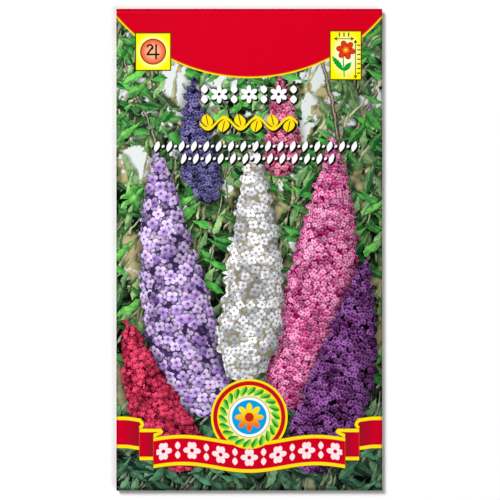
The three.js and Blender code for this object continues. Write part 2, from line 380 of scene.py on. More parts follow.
    def cells(self, vector: Flow) -> Cells:
        """Finds a point's cell in a scattered pattern with one cell to a unit.

        Args:
            vector: The point.

        Returns:
            The cell.
        """
        made = self.node(
            "ShaderNodeTexVoronoi",
            {"Vector": vector, "Scale": 1.0, "Randomness": 1.0},
            voronoi_dimensions="2D",
        )
        here, middle = self.split(vector), self.split(Flow(self, made.outputs["Position"]))
        chances = self.node("ShaderNodeSeparateColor", {0: made.outputs["Color"]}).outputs
        return Cells(
            Flow(self, made.outputs["Distance"]),
            here[0] - middle[0],
            here[1] - middle[1],
            Flow(self, chances[0]),
            Flow(self, chances[1]),
        )

    def disc(self, centre: Point, radius: float) -> Flow:
        """Gives the distance outside a disc, which is below zero within it."""
        return self.length(*self.offset(centre)) - radius

    def block(self, centre: Point, half_width: float, half_height: float) -> Flow:
        """Gives the distance outside a rectangle.

        Args:
            centre: The rectangle's middle.
            half_width: Half its width.
            half_height: Half its height.

        Returns:
            The distance, which is below zero within it.
        """
        across, up = self.offset(centre)
        return self.larger(abs(across) - half_width, abs(up) - half_height)

    def length(self, across: Amount, up: Amount) -> Flow:
        """Gives the length of a line from its two legs."""
        return self.maths("SQRT", across * across + up * up)

    def stroke(self, across: Flow, up: Flow, start: Point, end: Point, half: float) -> Flow:
        """Gives the distance outside a straight stroke with round ends.

        Args:
            across: The place's first coordinate.
            up: The place's second coordinate.
            start: One end of the stroke.
            end: Its other end.
            half: Half its width.

        Returns:
            The distance.
        """
        run, rise = end[0] - start[0], end[1] - start[1]
        square = run * run + rise * rise
        from_x, from_y = across - start[0], up - start[1]
        share = self.maths("ADD", from_x * (run / square), from_y * (rise / square), clamp=True)
        return self.length(from_x - share * run, from_y - share * rise) - half

    def lay(self, base: Tint, top: Tint, outside: Flow, soft: float, share: Amount | None = None) -> Flow:
        """Prints a colour where a distance is below zero.

        Args:
            base: The colour already there.
            top: The colour that is printed.
            outside: The distance outside the printed shape.
            soft: How wide its edge blurs.
            share: How much ink it holds, where it isn't full.

        Returns:
            The new colour.
        """
        inside = self.ease(outside, soft / 2, -soft / 2)
        if share is not None:
            inside = inside * share
        return self.mix(base, top, inside)


class Surface(Ink):
    """Writes the nodes of one material."""

    MIRRORING = 0.05  # how much of the light printed paper mirrors

    def __init__(self, name: str) -> None:
        """Starts an empty material.

        Args:
            name: The material's name.
        """
        self.material = bpy.data.materials.new(name)
        self.material.use_nodes = True
        super().__init__(self.material.node_tree)

    def finish(self, colour: Tint, roughness: Amount, bump: Flow | None = None) -> bpy.types.Material:
        """Ends the material.

        Args:
            colour: The surface's colour.
            roughness: How matt it is.
            bump: Its height in millimetres, where it isn't smooth.

        Returns:
            The material.
        """
        inputs: dict = {"Base Color": colour, "Roughness": roughness}
        inputs["Specular IOR Level"] = self.MIRRORING
        if bump is not None:
            raised = {"Height": bump, "Distance": MM, "Strength": 1.0}
            inputs["Normal"] = self.node("ShaderNodeBump", raised).outputs[0]
        surface = self.node("ShaderNodeBsdfPrincipled", inputs)
        self.node("ShaderNodeOutputMaterial", {"Surface": surface.outputs[0]})
        return self.material

    def varnish(self, colour: Tint, shine: Point) -> bpy.types.Material:
        """Ends the material as printed paper, whose fine grain changes its shine a little.

        Args:
            colour: The print's colour.
            shine: How matt it is where the grain is low and where it is high.

        Returns:
            The material.
        """
        grain = self.noise(self.place, 1.6, 3.0, 0.6)
        return self.finish(colour, self.ease(grain, 0.2, 0.8, *shine), grain * 0.006)


class Picture(Ink):
    """Writes a picture once, for all the materials that show it."""

    def __init__(self, name: str) -> None:
        """Starts an empty picture.

        Args:
            name: Its name.
        """
        super().__init__(bpy.data.node_groups.new(name, "ShaderNodeTree"))
        self.tree.interface.new_socket("Colour", in_out="OUTPUT", socket_type="NodeSocketColor")

    def finish(self, colour: Flow) -> None:
        """Ends the picture with its colour."""
        self.node("NodeGroupOutput", {0: colour})

    def show(self, ink: Ink) -> Flow:
        """Puts the picture into a material.

        Args:
            ink: The material.

        Returns:
            The picture's colour there.
        """
        return Flow(ink, ink.node("ShaderNodeGroup", node_tree=self.tree).outputs[0])


@dataclass(frozen=True)
class Print:
    """The inks laid so far: their colour where they cover, and how much is left bare."""

    ink: Ink
    colour: Tint = "000000"
    bare: Amount = 1.0

    def lay(self, top: Tint, outside: Flow, soft: float = 0.1) -> "Print":
        """Prints a colour where a distance is below zero.

        Args:
            top: The colour that is printed.
            outside: The distance outside the printed shape.
            soft: How wide its edge blurs.

        Returns:
            The print with this colour on top.
        """
        covered = self.ink.ease(outside, soft / 2, -soft / 2)
        return Print(self.ink, self.ink.mix(self.colour, top, covered), self.bare * (1.0 - covered))

    def over(self, picture: Tint) -> Flow:
        """Lays the whole print over a picture.

        Args:
            picture: The picture's colour.

        Returns:
            The colour of both.
        """
        return self.ink.add(self.ink.shade(picture, self.bare), self.colour)


# ------------------------------------------------------------------ the painted garden


class Bloom(Enum):
    """The kinds of flower spike: petals in light, in half shade and in shade, then the eye."""

    WHITE = ("fcfdff", "c2c6d2", "928a70", "8c5a24")
    LILAC = ("e6d2f8", "966ec4", "38284e", "7c2a4a")
    PINK = ("f8aed4", "d22884", "76043c", "8c103c")
    PURPLE = ("9e62ae", "500e48", "040106", "1e061e")
    CORAL = ("e6466e", "b41240", "420414", "f08a58")
    VIOLET = ("8680bc", "3a345e", "100e24", "262040")
    ROSE = ("f6a4c0", "cc3068", "5c0a2c", "a02850")


LIGHT_FROM = (-0.6, 0.8)  # across the packet, towards the sun of the painted garden


@dataclass(frozen=True)
class Wrapped:
    """A spike at a point: whether it covers it, the place on its skin counted in florets,
    how light it is there and how deep its shadow is on what lies behind."""

    covered: Flow
    around: Flow
    along: Flow
    light: Flow
    shadow: Flow


@dataclass(frozen=True)
class Spike:
    """One flower spike: a long cone of florets that leans and bows."""

    bloom: Bloom
    base: Point
    tip: Point
    half_width: float
    bow: float
    floret: float
    shoulder: float = 0.22

    @property
    def run(self) -> Point:
        """The way from the spike's base to its tip."""
        return (self.tip[0] - self.base[0], self.tip[1] - self.base[1])

    def wrap(self, ink: Ink, ragged: Flow) -> Wrapped:
        """Wraps the spike's florets round it.

        Args:
            ink: The material.
            ragged: How far the florets stand out of the outline here.

        Returns:
            The spike as it is seen at each point.
        """
        length = math.hypot(*self.run)
        turn = math.atan2(self.run[1], self.run[0])
        share, side, _ = ink.split(ink.local(self.base, turn, (length, 1.0)))
        past = ink.larger((share - self.shoulder) * (1 / (1 - self.shoulder)), 0.0)
        taper = ink.larger(1.0 - past**1.7, 0.0) ** 0.8
        foot = ink.maths("MULTIPLY", share, 1 / self.shoulder, clamp=True)
        foot = ink.maths("SQRT", 1.0 - (1.0 - foot) ** 2.0)
        half = taper * foot * self.half_width
        middle = side + share * (1.0 - share) * (4 * self.bow)
        inside = half - abs(middle)
        covered = ink.maths("GREATER_THAN", inside + ragged, 0.0)
        covered = covered * ink.maths("COMPARE", share, 0.5, 0.505)
        shadow = ink.ease(inside, -2.8, 0.5, 0.0, 0.6) * ink.ease(abs(share - 0.5), 0.53, 0.47)
        turned = ink.maths("MULTIPLY", middle / (half + 0.01), 0.88)
        turned = ink.maths("ARCSINE", ink.smaller(ink.larger(turned, -1.0), 1.0))
        left = (-math.sin(turn), math.cos(turn))
        sunward = 0.6 * (left[0] * LIGHT_FROM[0] + left[1] * LIGHT_FROM[1])
        light = ink.maths("COSINE", turned - sunward) * ink.ease(share, 0.8, 1.02, 1.0, 0.7)
        around = turned * half * (1 / self.floret) + 7.3 * self.tip[0]
        return Wrapped(covered, around, share * (length / self.floret), light, shadow)


@dataclass(frozen=True)
class LeafLayer:
    """A scatter of lance-shaped leaves that all point much the same way."""

    turn: float
    long: float
    wide: float
    light: str
    dark: str
    share: float
    soft: float

    def paint(self, ink: Ink, colour: Tint, place: Flow, dapple: Flow, growth: Flow) -> Flow:
        """Paints the leaves over what is there.

        Args:
            ink: The material.
            colour: The colour already there.
            place: The place, pushed about so that no two leaves are alike.
            dapple: How much light falls through the bush here.
            growth: How thickly leaves grow here, from 0 to 1.

        Returns:
            The new colour.
        """
        centre = (3.7 * self.turn, 9.1)
        grid = ink.local(centre, math.radians(self.turn), (self.long, self.wide), place)
        cell = ink.cells(grid)
        along = cell.across + 0.46
        side = cell.up + (cell.other_chance - 0.5) * along
        side = side + (cell.chance - 0.25) * 1.8 * (along * along)
        outside = abs(side) - along * (0.92 - along) * (1.3 - along) * 2.2
        kept = ink.maths("LESS_THAN", cell.chance, growth * self.share)
        lit = ink.ease(side, -0.05, 0.05) * 0.3
        tone = ink.maths("ADD", lit, cell.other_chance * 0.8, clamp=True)
        leaf = ink.mix(self.dark, self.light, tone * dapple)
        leaf = ink.mix(leaf, "b8cc98", ink.ease(abs(side), 0.045, 0.01, 0.0, 0.3))
        shadow = ink.lay(colour, "050a06", outside - 0.16, 0.36, kept * 0.65)
        return ink.lay(shadow, leaf, outside, self.soft, kept)


@dataclass(frozen=True)
class Twig:
    """A thin bare stem in the garden behind."""

    start: Point
    end: Point
    half: float
    colour: str

    def paint(self, ink: Ink, colour: Tint, place: Flow) -> Flow:
        """Paints the stem with its lit side.

        Args:
            ink: The material.
            colour: The colour already there.
            place: The place, pushed about so that the stem isn't straight.

        Returns:
            The new colour.
        """
        across, up, _ = ink.split(place)
        outside = ink.stroke(across, up, self.start, self.end, self.half)
        bark = ink.mix(self.colour, "b9ab93", ink.ease(outside, -0.1, -self.half))
        colour = ink.lay(colour, "10160e", outside - 0.3, 0.5, 0.6)
        return ink.lay(colour, bark, outside, 0.15)


@dataclass(frozen=True)
class Garden:
    """The picture on the front: flower spikes in a fan before a garden in soft focus."""

    spikes: tuple[Spike, ...] = (
        Spike(Bloom.ROSE, (9, 22), (9, 52), 5.6, 1, 1.6),
        Spike(Bloom.VIOLET, (-12, 14), (-17, 52), 5.8, -1.5, 1.5),
        Spike(Bloom.PINK, (12, -48), (25, 35), 12.2, 4, 1.65),
        Spike(Bloom.LILAC, (-12, -50), (-27.5, 31), 11.5, -3.5, 3.3),
        Spike(Bloom.WHITE, (-2, -40), (1, 33), 9.6, 2, 2.7),
        Spike(Bloom.PURPLE, (17, -67), (35, -2), 10.5, 3, 1.7),
        Spike(Bloom.CORAL, (-17, -66), (-37, -20), 8.6, -3, 1.8),
    )
    far_leaves: tuple[LeafLayer, ...] = (
        LeafLayer(15, 15, 5, "5c8a50", "12281a", 0.5, 0.3),
        LeafLayer(78, 12, 1.2, "d4d0a0", "62684a", 0.28, 0.35),
        LeafLayer(118, 13, 4.2, "86ac70", "1a3822", 0.42, 0.2),
        LeafLayer(52, 10, 1.0, "d8dab4", "50623e", 0.26, 0.35),
        LeafLayer(-38, 10, 3.2, "4ca848", "0e341c", 0.42, 0.14),
    )
    near_leaves: tuple[LeafLayer, ...] = (
        LeafLayer(68, 9.5, 2.7, "a4d084", "205830", 0.38, 0.1),
        LeafLayer(160, 9, 2.4, "58c050", "0c4420", 0.38, 0.07),
        LeafLayer(38, 11, 2.8, "7cd860", "125a28", 0.26, 0.06),
    )
    twigs: tuple[Twig, ...] = (
        Twig((-36, 61), (-18, 15), 0.35, "5a5146"),
        Twig((24, 63), (32, 21), 0.45, "4c4238"),
        Twig((41, 50), (15, 5), 0.28, "6b5f50"),
        Twig((0, 53), (-10, -5), 0.3, "57604a"),
        Twig((4, -43), (8, -69), 0.5, "5c6a48"),
    )
    deep_shade: str = "060c08"
    green: str = "4f7a44"
    sunlight: str = "c6b988"
    sky: str = "d8dedc"
    scallop: float = 2.3
    scallop_depth: float = 2.4
    ragged: float = 0.9

    def backdrop(self, ink: Ink) -> Flow:
        """Paints the garden far behind: shadow, sunlit green and gaps of pale sky.

        Args:
            ink: The material.

        Returns:
            Its colour.
        """
        place = ink.strayed(0.14, 4.6)
        cloud = ink.noise(place, 0.2, 4.0, 0.65)
        colour = ink.mix(self.deep_shade, self.green, ink.ease(cloud, 0.42, 0.66))
        sun = ink.noise(ink.place, 0.07, 3.0, 0.6)
        colour = ink.mix(colour, self.sunlight, ink.ease(sun, 0.54, 0.64, 0.0, 0.8))
        gaps = ink.noise(ink.place, 0.13, 3.0, 0.6)
        high = ink.ease(ink.y, -20.0, 50.0, 0.66, 0.505)
        colour = ink.mix(colour, self.sky, ink.ease(gaps - high, 0.0, 0.03))
        dapple = ink.ease(ink.noise(ink.place, 0.45, 3.0, 0.6), 0.3, 0.66, 0.35, 1.35)
        growth = ink.ease(sun, 0.5, 0.6, 1.0, 0.3)
        for layer in self.far_leaves:
            colour = layer.paint(ink, colour, place, dapple, growth)
        for twig in self.twigs:
            colour = twig.paint(ink, colour, place)
        for layer in self.near_leaves:
            colour = layer.paint(ink, colour, place, dapple, growth)
        colour = ink.cool(colour, ink.ease(ink.y, -25.0, -62.0))
        light = ink.ease(ink.y, -75.0, 10.0, 0.58, 1.12) * ink.ease(ink.x, 8.0, 36.0, 1.0, 0.76)
        return ink.shade(colour, light)

    def florets(self, ink: Ink, place: Flow, share: Amount) -> tuple[Flow, Flow, Flow, Flow]:
        """Sets one four-petalled floret in each cell.

        Args:
            ink: The material.
            place: The place on the unrolled cone, counted in florets.
            share: How many of the cells hold one.

        Returns:
            Where the florets cover, where they shade what is below them, how light each is
            and where its eye is.
        """
        cell = ink.cells(place)
        kept = ink.maths("LESS_THAN", cell.chance, share)
        angle = ink.maths("ARCTAN2", cell.up, cell.across) + cell.other_chance * 6.3
        lobes = ink.maths("SQRT", abs(ink.maths("COSINE", angle * 2.0)))
        beyond = cell.away - 0.18 - lobes * 0.34
        covered = ink.ease(beyond, 0.03, -0.03) * kept
        shaded = ink.ease(beyond, 0.26, 0.0) * kept
        tone = 0.1 + cell.other_chance * 0.6 + cell.up * 0.55
        tone = tone + ink.ease(cell.away, 0.08, 0.32) * 0.4
        return covered, shaded, tone, ink.ease(cell.away, 0.11, 0.07)

    def picture(self) -> Picture:
        """Paints the whole picture.

        Returns:
            The picture.
        """
        ink = Picture("garden")
        scallop = ink.cells(ink.local((0.0, 0.0), 0.4, (self.scallop, self.scallop)))
        ragged = self.ragged - scallop.away * self.scallop_depth
        code: Amount = 0.0
        shade: Amount = 1.0
        around, along, light = ink.x, ink.y, 1.0
        for i, spike in enumerate(self.spikes):
            seen = spike.wrap(ink, ragged)
            code = ink.choose(code, float(i + 1), seen.covered)
            shade = ink.choose((1.0 - seen.shadow) * shade, 1.0, seen.covered)
            around = ink.choose(around, seen.around, seen.covered)
            along = ink.choose(along, seen.along, seen.covered)
            light = ink.choose(light, seen.light, seen.covered)
        wrapped = ink.join(around, along)
        kinds = [self.spikes[0].bloom, *(spike.bloom for spike in self.spikes)]
        pale, middle, deep, eyes = (
            ink.palette(code, [kind.value[tone] for kind in kinds]) for tone in range(4)
        )
        lumps = ink.noise(wrapped, 0.32, 2.0, 0.6)
        depth = ink.noise(wrapped, 1.4, 2.0, 0.6)
        colour = ink.mix(deep, middle, ink.ease(depth, 0.5, 0.8))
        for shift, strength, share in (
            ((31.4, 12.7), 0.5, 0.95),
            ((17.9, 45.2), 0.75, 0.85),
            ((0.0, 0.0), 1.0, ink.ease(lumps, 0.36, 0.56, 0.35, 0.95)),
        ):
            place = ink.join(around + shift[0], along + shift[1])
            covered, shaded, tone, eye = self.florets(ink, place, share)
            petal = ink.mix(middle, pale, ink.ease(tone + lumps * 0.9 - 0.45, 0.2, 1.15))
            petal = ink.mix(petal, eyes, eye)
            colour = ink.mix(colour, deep, shaded * 0.7)
            colour = ink.mix(colour, ink.shade(petal, strength), covered)
        colour = ink.shade(colour, ink.maths("MULTIPLY_ADD", light, 0.77, 0.34))
        colour = ink.shade(colour, ink.ease(lumps, 0.3, 0.62, 0.72, 1.12))
        flowers = ink.maths("GREATER_THAN", code, 0.5)
        ink.finish(ink.shade(ink.mix(self.backdrop(ink), colour, flowers), shade))
        return ink


# ------------------------------------------------------------------ the printed furniture

RED = "d2001f"
YELLOW = "ffe016"
BLACK = "0c0c0a"
WHITE = "ffffff"


@dataclass(frozen=True)
class Header:
    """The red field along the top, which ends in a sagging arc with a yellow line."""

    low: float = 52.1
    side: float = 70.4
    half_width: float = 39.65
    line: float = 0.65
    shade_line: float = 0.25

    def print_on(self, sheet: Print) -> Print:
        """Prints the header.

        Args:
            sheet: The print so far.

        Returns:
            The print with the header.
        """
        sag = self.side - self.low
        radius = (self.half_width**2 + sag**2) / (2 * sag)
        outside = sheet.ink.disc((0.0, self.low + radius), radius)
        sheet = sheet.lay(YELLOW, outside - self.line)
        sheet = sheet.lay("c2500a", outside - self.shade_line, 0.3)
        return sheet.lay(RED, outside)


@dataclass(frozen=True)
class Plates:
    """The two small yellow pictograms: a mark for a lasting plant and a picture of its size."""

    sun: Point = (-28.9, 59.5)
    sun_half: Point = (5.45, 5.8)
    sun_radius: float = 3.9
    size: Point = (28.95, 58.4)
    size_half: Point = (4.85, 7.5)
    border: float = 0.32
    mark_lines: tuple[tuple[Point, Point], ...] = (
        ((-0.2, 1.3), (-1.7, -0.75)),
        ((-1.7, -0.85), (1.7, -0.85)),
        ((0.9, 2.05), (0.9, -2.1)),
    )
    mark_half: float = 0.27
    leaf_runs: tuple[Point, ...] = ((-3.5, 4.5), (2.25, 2.7))
    arrows: tuple[tuple[Point, Point], ...] = (((-3.3, 5.0), (2.3, 5.0)), ((2.95, -6.8), (2.95, 4.5)))
    barb: float = 0.8
    barb_turn: float = 0.5

    def plate(self, sheet: Print, centre: Point, half: Point) -> Print:
        """Prints a yellow plate that glows pale in its middle.

        Args:
            sheet: The print so far.
            centre: The plate's middle.
            half: Half its width and half its height.

        Returns:
            The print with the plate.
        """
        ink = sheet.ink
        outside = ink.block(centre, *half)
        across, up = ink.offset(centre)
        away = ink.length(across / half[0], up / half[1])
        face = ink.mix("fdfbcc", "fff200", ink.ease(away, 0.3, 1.05))
        sheet = sheet.lay("3c2c04", outside)
        return sheet.lay(face, outside + self.border)

    def lasting_mark(self, sheet: Print) -> Print:
        """Prints an orange disc with the gardeners' sign for a plant that lives for years.

        Args:
            sheet: The print so far.

        Returns:
            The print with the mark.
        """
        ink = sheet.ink
        outside = ink.disc(self.sun, self.sun_radius)
        rim = ink.ease(outside, -0.7 * self.sun_radius, -0.3)
        face = ink.mix("fbb48c", "ee6236", rim)
        sheet = sheet.lay("4a1c08", outside)
        sheet = sheet.lay(face, outside + 0.3)
        across, up = ink.offset(self.sun)
        for start, end in self.mark_lines:
            sheet = sheet.lay(BLACK, ink.stroke(across, up, start, end, self.mark_half))
        hook = abs(ink.length(across + 0.95, up - 1.25) - 0.8) - 0.26
        return sheet.lay(BLACK, ink.larger(hook, 0.45 - up - across * 0.5))

    def bloom(self, sheet: Print, across: Flow, up: Flow) -> Print:
        """Prints a flower of six pointed petals on a stem with two leaves.

        Args:
            sheet: The print so far.
            across: The distance to the right of the plate's middle.
            up: The distance above it.

        Returns:
            The print with the flower.
        """
        ink = sheet.ink
        green = "0f9a30"
        sheet = sheet.lay(green, ink.stroke(across, up, (-0.45, -6.3), (-0.8, 0.4), 0.17))
        for side, rise in self.leaf_runs:
            turn, long = math.atan2(rise, side), math.hypot(side, rise)
            base = (self.size[0] - 0.6, self.size[1] - 4.8)
            along, aside, _ = ink.split(ink.local(base, turn, (long, 1.0)))
            frill = ink.maths("SINE", along * 38.0) * 0.09
            sheet = sheet.lay(green, abs(aside) - along * (1.0 - along) * 3.1 + frill)
        across, up = across - 0.05, up - 1.6
        away = ink.length(across, up)
        turned = ink.maths("ARCTAN2", up, across) * 3.0 + 0.6
        petal = abs(ink.maths("COSINE", turned))
        outside = away - 1.75 - petal * 1.05
        red = ink.mix("8c1806", "dc3618", ink.ease(petal, 0.05, 0.35))
        red = ink.mix(red, "f08a24", ink.ease(away, 1.3, 0.5))
        sheet = sheet.lay("7c1404", outside - 0.16)
        sheet = sheet.lay(red, outside)
        return sheet.lay("ffd428", away - 0.42)

    def size_picture(self, sheet: Print) -> Print:
        """Prints a flower between two arrows, each with the ticks of a measure beside it.

        Args:
            sheet: The print so far.

        Returns:
            The print with the picture.
        """
        ink = sheet.ink
        across, up = ink.offset(self.size)
        sheet = self.bloom(sheet, across, up)
        for start, end in self.arrows:
            for here, there in ((start, end), (end, start)):
                run = math.atan2(there[1] - here[1], there[0] - here[0])
                sheet = sheet.lay(BLACK, ink.stroke(across, up, here, there, 0.1))
                for turn in (run + self.barb_turn, run - self.barb_turn):
                    barb = (here[0] + self.barb * math.cos(turn), here[1] + self.barb * math.sin(turn))
                    sheet = sheet.lay(BLACK, ink.stroke(across, up, here, barb, 0.13))
        wide_tick = abs(ink.maths("PINGPONG", across + 0.5, 0.7)) - 0.17
        tall_tick = abs(ink.maths("PINGPONG", up + 1.15, 0.7)) - 0.17
        above = ink.larger(abs(across + 0.5) - 2.5, abs(up - 6.25) - 0.65)
        beside = ink.larger(abs(up + 1.15) - 5.1, abs(across - 3.95) - 0.5)
        sheet = sheet.lay(BLACK, ink.larger(wide_tick, above))
        return sheet.lay(BLACK, ink.larger(tall_tick, beside))

    def print_on(self, sheet: Print) -> Print:
        """Prints both plates.

        Args:
            sheet: The print so far.

        Returns:
            The print with the plates.
        """
        sheet = self.lasting_mark(self.plate(sheet, self.sun, self.sun_half))
        return self.size_picture(self.plate(sheet, self.size, self.size_half))


@dataclass(frozen=True)
class BlossomRow:
    """A row of blossoms with a pair of leaves between each two."""

    pitch: float
    half: float
    petals: float
    turn: float
    core: float
    reach: float
    hole: float
    leaf_foot: float
    leaf_tip: float
    leaf_width: float

    def outline(self, ink: Ink, across: Flow, up: Flow) -> Flow:
        """Draws the row.

        Args:
            ink: The material.
            across: The distance along the row from its middle.
            up: The distance above the row's middle.

        Returns:
            The distance outside the row.
        """
        beat = ink.maths("PINGPONG", across, self.pitch)
        away = ink.length(beat, up)
        turned = ink.maths("ARCTAN2", up, beat) * self.petals + self.turn
        blossom = away - self.core - abs(ink.maths("COSINE", turned)) * self.reach
        blossom = ink.larger(blossom, self.hole - away)
        tall = abs(up)
        leaf_half = (tall - self.leaf_foot) * (self.leaf_tip - tall) * self.leaf_width
        leaf = abs(beat - self.pitch) - leaf_half
        leaf = ink.larger(leaf, self.leaf_foot - tall)
        return ink.larger(ink.smaller(blossom, leaf), abs(across) - self.half)


@dataclass(frozen=True)
class VineRow:
    """A waving stem with a broad leaf in each bend."""

    pitch: float
    half: float
    swing: float = 1.7
    stem_half: float = 0.5

    def outline(self, ink: Ink, across: Flow, up: Flow) -> Flow:
        """Draws the row.

        Args:
            ink: The material.
            across: The distance along the row from its middle.
            up: The distance above the row's middle.

        Returns:
            The distance outside the row.
        """
        wave = ink.maths("SINE", across * (math.pi / self.pitch))
        stem = abs(up - wave * self.swing) - self.stem_half
        beat = ink.maths("FLOORED_MODULO", across, self.pitch) - self.pitch / 2
        along = 1.3 - up * ink.maths("SIGN", wave)
        aside = abs(beat + along * 0.22 - 0.3)
        leaf = aside - along * (4.1 - along) * 0.4
        leaf = ink.larger(leaf * 0.8, -along)
        vein = ink.smaller(0.14 - aside, along - 0.7)
        vine = ink.smaller(stem, ink.larger(leaf, vein))
        return ink.larger(vine, abs(across) - self.half)


@dataclass(frozen=True)
class GrainRow:
    """A row of slanting grains with a dot between each two."""

    half: float
    pitch: float = 1.85
    slant: float = 0.3
    dot: float = 0.42

    def outline(self, ink: Ink, across: Flow, up: Flow) -> Flow:
        """Draws the row.

        Args:
            ink: The material.
            across: The distance along the row from its middle.
            up: The distance above the row's middle.

        Returns:
            The distance outside the row.
        """
        along = across - up * self.slant
        beat = ink.maths("PINGPONG", along, self.pitch)
        grain = ink.larger(beat - 0.78 + up * up * 0.3, abs(up) - 1.6)
        dot = ink.length(beat - self.pitch, up) - self.dot
        return ink.larger(ink.smaller(grain, dot), abs(along) - self.half)


@dataclass(frozen=True)
class Friezes:
    """Rows of plain ornament, each with its shadow, where a packet names its seeds."""

    rows: tuple[tuple[Point, str, Union[BlossomRow, VineRow, GrainRow]], ...] = (
        (
            (-0.1, 46.6),
            WHITE,
            BlossomRow(
                pitch=4.45, half=14.7, petals=3.0, turn=math.pi / 2, core=1.2, reach=1.5, hole=0.5,
                leaf_foot=0.25, leaf_tip=2.75, leaf_width=0.62,
            ),
        ),
        ((-0.2, 37.9), YELLOW, VineRow(pitch=4.9, half=14.7)),
        ((1.9, 31.0), WHITE, GrainRow(half=31.2)),
        ((2.5, 27.3), WHITE, GrainRow(half=22.8)),
    )
    shadow: Point = (0.36, -0.42)
    shadow_spread: float = 0.24
    shadow_soft: float = 0.34

    def print_on(self, sheet: Print) -> Print:
        """Prints the rows.

        Args:
            sheet: The print so far.

        Returns:
            The print with the rows.
        """
        ink = sheet.ink
        for (x, y), tint, row in self.rows:
            behind = row.outline(ink, *ink.offset((x + self.shadow[0], y + self.shadow[1])))
            sheet = sheet.lay(BLACK, behind - self.shadow_spread, self.shadow_soft)
            sheet = sheet.lay(tint, row.outline(ink, *ink.offset((x, y))))
        return sheet


@dataclass(frozen=True)
class Seal:
    """The round seal over the ribbon: a ring of leaves round a blossom on a blue disc."""

    centre: Point = (0.0, -50.2)
    rim: float = 11.5
    ring: float = 10.7
    field: float = 9.6
    band: float = 6.0
    disc: float = 5.2
    leaves: int = 22

    def print_behind(self, sheet: Print) -> Print:
        """Prints the rings that the ribbon passes over.

        Args:
            sheet: The print so far.

        Returns:
            The print with the rings.
        """
        away = sheet.ink.disc(self.centre, 0.0)
        sheet = sheet.lay(YELLOW, away - self.rim)
        sheet = sheet.lay("7c2c00", away - self.ring - 0.12)
        return sheet.lay("c80c22", away - self.ring)

    def print_front(self, sheet: Print) -> Print:
        """Prints the field that lies on the ribbon, with its leaves and its blossom.

        Args:
            sheet: The print so far.

        Returns:
            The print with the seal.
        """
        ink = sheet.ink
        across, up = ink.offset(self.centre)
        away = ink.length(across, up)
        angle = ink.maths("ARCTAN2", up, across)
        glow = ink.ease(away, self.field - 0.2, self.band, 0.0, 0.8)
        sheet = sheet.lay(ink.mix(YELLOW, "f4f0a0", glow), away - self.field)
        turned = angle * (self.leaves / math.tau) + away * 0.28
        beat = ink.maths("FLOORED_MODULO", turned, 1.0) - 0.5
        reach = (away - 6.5) * (1 / 2.9)
        leaf = abs(beat) - reach * (1.0 - reach) * 1.9
        green = ink.mix("128a28", "7ee04a", ink.ease(beat, -0.25, 0.25))
        sheet = sheet.lay(green, leaf, 0.08)
        sheet = sheet.lay("7c8068", away - self.band - 0.18, 0.25)
        sheet = sheet.lay(WHITE, away - self.band)
        sheet = sheet.lay("089fe0", away - self.disc)
        petal = abs(ink.maths("COSINE", angle * 4.0))
        flame = ink.mix("ffe01c", "f0641e", ink.ease(up, 2.5, -3.5))
        sheet = sheet.lay(flame, away - 2.2 - petal * 2.1)
        return sheet.lay("c8281c", away - 1.35)


